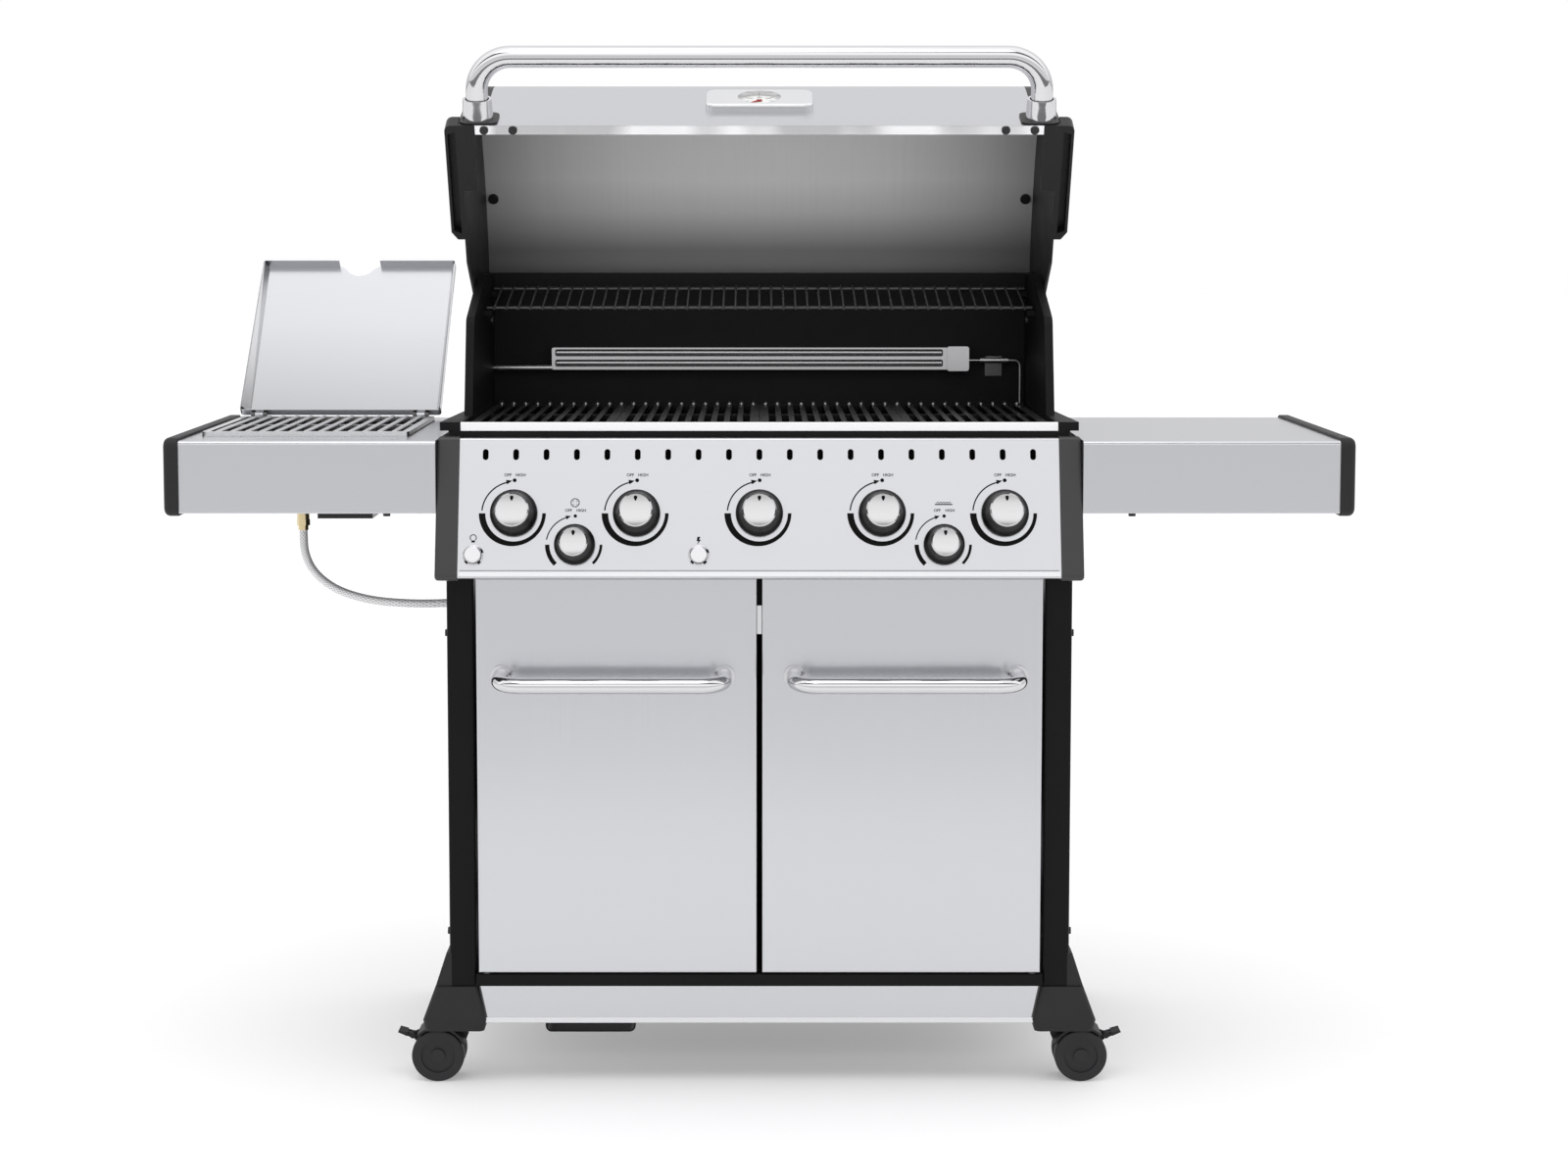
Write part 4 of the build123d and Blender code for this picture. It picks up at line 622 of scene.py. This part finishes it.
def slab(name, pts, mat, body):
    """Eight corners, four below and four above, as a closed block."""
    o = mesh_obj(name, pts, [[3, 2, 1, 0], [4, 5, 6, 7], [0, 1, 5, 4], [1, 2, 6, 5], [2, 3, 7, 6], [3, 0, 4, 7]], mat)
    bm = bmesh.new()
    bm.from_mesh(o.data)
    bmesh.ops.recalc_face_normals(bm, faces=bm.faces)
    bm.to_mesh(o.data)
    bm.free()
    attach(o, body)


# bright metal rear tips of the cooking grid bars: painted highlights for the glints at the bars' rear ends
tv, tf = [], []
for i in range(4):
    for j in range(11):
        bx, bv, bz = (i - 1.5) * 204.8 + (j - 5) * 18.6, 481.0, 931.0
        k0 = len(tv)
        for a in range(5):
            for b in range(10):
                t, u = 1.5708 * a / 5, 6.28318 * b / 10
                tv.append(P(bx + 3.9 * math.cos(t) * math.cos(u), bv + 5.5 * math.cos(t) * math.sin(u), bz + 5.0 * math.sin(t)))
        tv.append(P(bx, bv, bz + 5.0))
        for a in range(4):
            for b in range(10):
                tf.append([k0 + a * 10 + b, k0 + a * 10 + (b + 1) % 10, k0 + (a + 1) * 10 + (b + 1) % 10, k0 + (a + 1) * 10 + b])
        for b in range(10):
            tf.append([k0 + 40 + b, k0 + 40 + (b + 1) % 10, k0 + 50])
        tf.append([k0 + b for b in reversed(range(10))])
o = mesh_obj("grid_bar_tips_painted_glint", tv, tf, IRON_TIP_PAINTED_GLINT, smooth=True)
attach(o, "cart")

# folded lower edge of the kick panel, as a strip of lighter steel: painted highlight along the bend
KV = [v.co for v in N["kick_panel"].data.vertices]
KY, KZ = min(v.y for v in KV), min(v.z for v in KV)
KX = min(max(v.x for v in KV), 0.40) - 0.006
slab("kick_fold", [Vector((x, y, z)) for z in (KZ + 0.0012, KZ + 0.0085) for x, y in ((-KX, KY - 0.0008), (KX, KY - 0.0008), (KX, KY + 0.0002), (-KX, KY + 0.0002))], STEEL_FOLD_PAINTED_LIGHT, "cart")
# folded lower edge of the panel, as a strip of lighter steel: painted highlight along the bend
slab("panel_fold", [on_panel(x, 727.0, 0, b, h) for h in (0.02, 0.7) for x, b in ((-411.5, 3.8), (411.5, 3.8), (411.5, 9.6), (-411.5, 9.6))], STEEL_FOLD_PAINTED_LIGHT, "cart")

# ------------------------------------------------------------------ lid lip and side burner cover
def shut(c):
    """Depth and height of an open-lid point with the lid shut, in mm."""
    y, z = c.y / MM - YF - HV, c.z / MM - HZ
    return HV + y * math.cos(T) - z * math.sin(T), HZ + y * math.sin(T) + z * math.cos(T)


# painted reflection: the lid's front lip gets the bright, patchy finish
repaint("lid_skin", LIP_PAINTED_REFLECTION, lambda c, n: shut(c)[1] < 943.9 and shut(c)[0] < 76)

CO = math.radians(180 - 133.5)
CV, CZ = 381.0, 922.0


def cov(x, along, up):
    """Point of the open cover: mm along from the hinge, mm up off its hinge plane on the burner side."""
    return P(x, CV + along * math.cos(CO) - up * math.sin(CO), CZ + along * math.sin(CO) + up * math.cos(CO))


CN = Vector((0, -math.sin(CO), math.cos(CO)))


def cover_mat():
    """Inside of the cover, with painted shade darkening it towards the burner."""
    m, nt, b = new_mat("steel_cover_inside")
    b.inputs["Metallic"].default_value = 1.0
    f = noise(nt, 1.0, (3, 420, 420), 4.0, 0.6)
    tc = node(nt, "ShaderNodeTexCoord")
    d = node(nt, "ShaderNodeSeparateXYZ")
    nt.links.new(tc.outputs["Object"], d.inputs["Vector"])
    mr_ = node(nt, "ShaderNodeMapRange")
    mr_.inputs["From Min"].default_value = CZ * MM
    mr_.inputs["From Max"].default_value = (CZ + 313 * math.sin(CO)) * MM
    nt.links.new(d.outputs["Z"], mr_.inputs["Value"])
    # painted shade: base colour darker low by the hinge and burner, lighter towards the free edge
    g = ramp(nt, mr_.outputs["Result"], [(0.0, (0.385, 0.392, 0.400)), (0.25, (0.455, 0.462, 0.473)), (0.6, (0.545, 0.553, 0.568)), (1.0, (0.585, 0.593, 0.610))])
    mm = node(nt, "ShaderNodeMix", data_type="RGBA", blend_type="MULTIPLY")
    mm.inputs[0].default_value = 1.0
    nt.links.new(g, mm.inputs[6])
    nt.links.new(ramp(nt, f, [(0.3, 0.996), (0.7, 1.0)]), mm.inputs[7])
    nt.links.new(mm.outputs[2], b.inputs["Base Color"])
    nt.links.new(ramp(nt, f, [(0.3, 0.266), (0.7, 0.274)]), b.inputs["Roughness"])
    bump(nt, b, f, 0.0008, 0.0005)
    return m


# painted shade: the side faces of the side burner grate's bars get the black wire finish
repaint("side_burner_grate", WIRE, lambda c, n: abs(n.x) > 0.5 and n.z < 0.5)
repaint("side_burner_cover", cover_mat(), lambda c, n: n.dot(CN) > 0.95)


def hem(name, x0, x1, x0b, x1b):
    """Folded hem sloping from the side flange to the sheet, the second pair of widths at the free edge."""
    sgn = 1 if x1 > x0 else -1
    out = []
    for along, a, b in ((12.0, x0, x1), (306.0, x0b, x1b)):
        out += [cov(a, along, 5.6), cov(b, along, -6.6), cov(b + sgn * 0.7, along, -6.2), cov(a + sgn * 0.7, along, 6.0)]
    o = mesh_obj(name, out, [[0, 1, 5, 4], [1, 2, 6, 5], [2, 3, 7, 6], [3, 0, 4, 7], [0, 3, 2, 1], [4, 5, 6, 7]], STEEL_HEM_PAINTED_LIGHT)
    bm = bmesh.new()
    bm.from_mesh(o.data)
    bmesh.ops.recalc_face_normals(bm, faces=bm.faces)
    bm.to_mesh(o.data)
    bm.free()
    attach(o, "side_cover")


# painted highlight: the hems are in the lighter steel
hem("cover_hem_left", -786.4, -774.4, -786.4, -780.2)
hem("cover_hem_right", -484.6, -490.2, -484.6, -488.6)

# ------------------------------------------------------------------ stage and light
fm, fnt, fb = new_mat("floor")
fb.inputs["Base Color"].default_value = (0.78, 0.78, 0.78, 1)
fb.inputs["Emission Color"].default_value = (1, 1, 1, 1)
fb.inputs["Emission Strength"].default_value = 0.23
fb.inputs["Roughness"].default_value = 0.7
fb.inputs["Specular IOR Level"].default_value = 0.15
S = 40.0
floor = mesh_obj("floor", [(-S, -2.3, 0), (S, -2.3, 0), (S, S, 0), (-S, S, 0)], [[0, 1, 2, 3]], fm)

# studio dome: brightness by angle about the left-right axis, 0 at the front horizon, 90 overhead, 180 at the back
w = bpy.data.worlds.new("studio")
bpy.context.scene.world = w
w.use_nodes = True
wn = w.node_tree
bg = wn.nodes["Background"]
tc = wn.nodes.new("ShaderNodeTexCoord")
sep = wn.nodes.new("ShaderNodeSeparateXYZ")
wn.links.new(tc.outputs["Generated"], sep.inputs["Vector"])
neg = wn.nodes.new("ShaderNodeMath")
neg.operation = "MULTIPLY"
neg.inputs[1].default_value = -1.0
wn.links.new(sep.outputs["Y"], neg.inputs[0])
at2 = wn.nodes.new("ShaderNodeMath")
at2.operation = "ARCTAN2"
wn.links.new(sep.outputs["Z"], at2.inputs[0])
wn.links.new(neg.outputs[0], at2.inputs[1])
mr = wn.nodes.new("ShaderNodeMapRange")
mr.inputs["From Min"].default_value = -math.pi / 4
mr.inputs["From Max"].default_value = math.pi
wn.links.new(at2.outputs[0], mr.inputs["Value"])
r = wn.nodes.new("ShaderNodeValToRGB")
els = r.color_ramp.elements
stops = [(-45, 0.26), (-22, 0.26), (-18, 0.94), (-4, 0.96), (0, 0.80), (9, 0.86), (16, 1.30), (36, 1.50), (40, 0.16), (55, 0.16), (59, 1.25),
         (85, 1.40), (96, 1.45), (106, 1.28), (128, 1.05), (150, 0.96), (165, 0.82), (180, 0.78)]
while len(els) < len(stops):
    els.new(0.5)
for el, (p, c) in zip(els, stops):
    el.position = (p + 45.0) / 225.0
    el.color = (c, c, c * 1.01, 1)
wn.links.new(mr.outputs["Result"], r.inputs["Fac"])
lp = wn.nodes.new("ShaderNodeLightPath")
mix = wn.nodes.new("ShaderNodeMix")
mix.data_type = "RGBA"
wn.links.new(lp.outputs["Is Camera Ray"], mix.inputs[0])
wn.links.new(r.outputs["Color"], mix.inputs[6])
mix.inputs[7].default_value = (1, 1, 1, 1)
wn.links.new(mix.outputs[2], bg.inputs["Color"])
bg.inputs["Strength"].default_value = 1.0


def area(name, loc, target, size, power, size_y=None):
    L = bpy.data.lights.new(name, "AREA")
    L.energy = power
    L.size = size
    if size_y:
        L.shape = "RECTANGLE"
        L.size_y = size_y
    o = link(bpy.data.objects.new(name, L))
    o.location = loc
    o.rotation_euler = (Vector(target) - Vector(loc)).to_track_quat("-Z", "Y").to_euler()
    return o


area("key", (-0.3, -1.7, 3.8), (0, -1.5, 0.0), 2.4, 26)
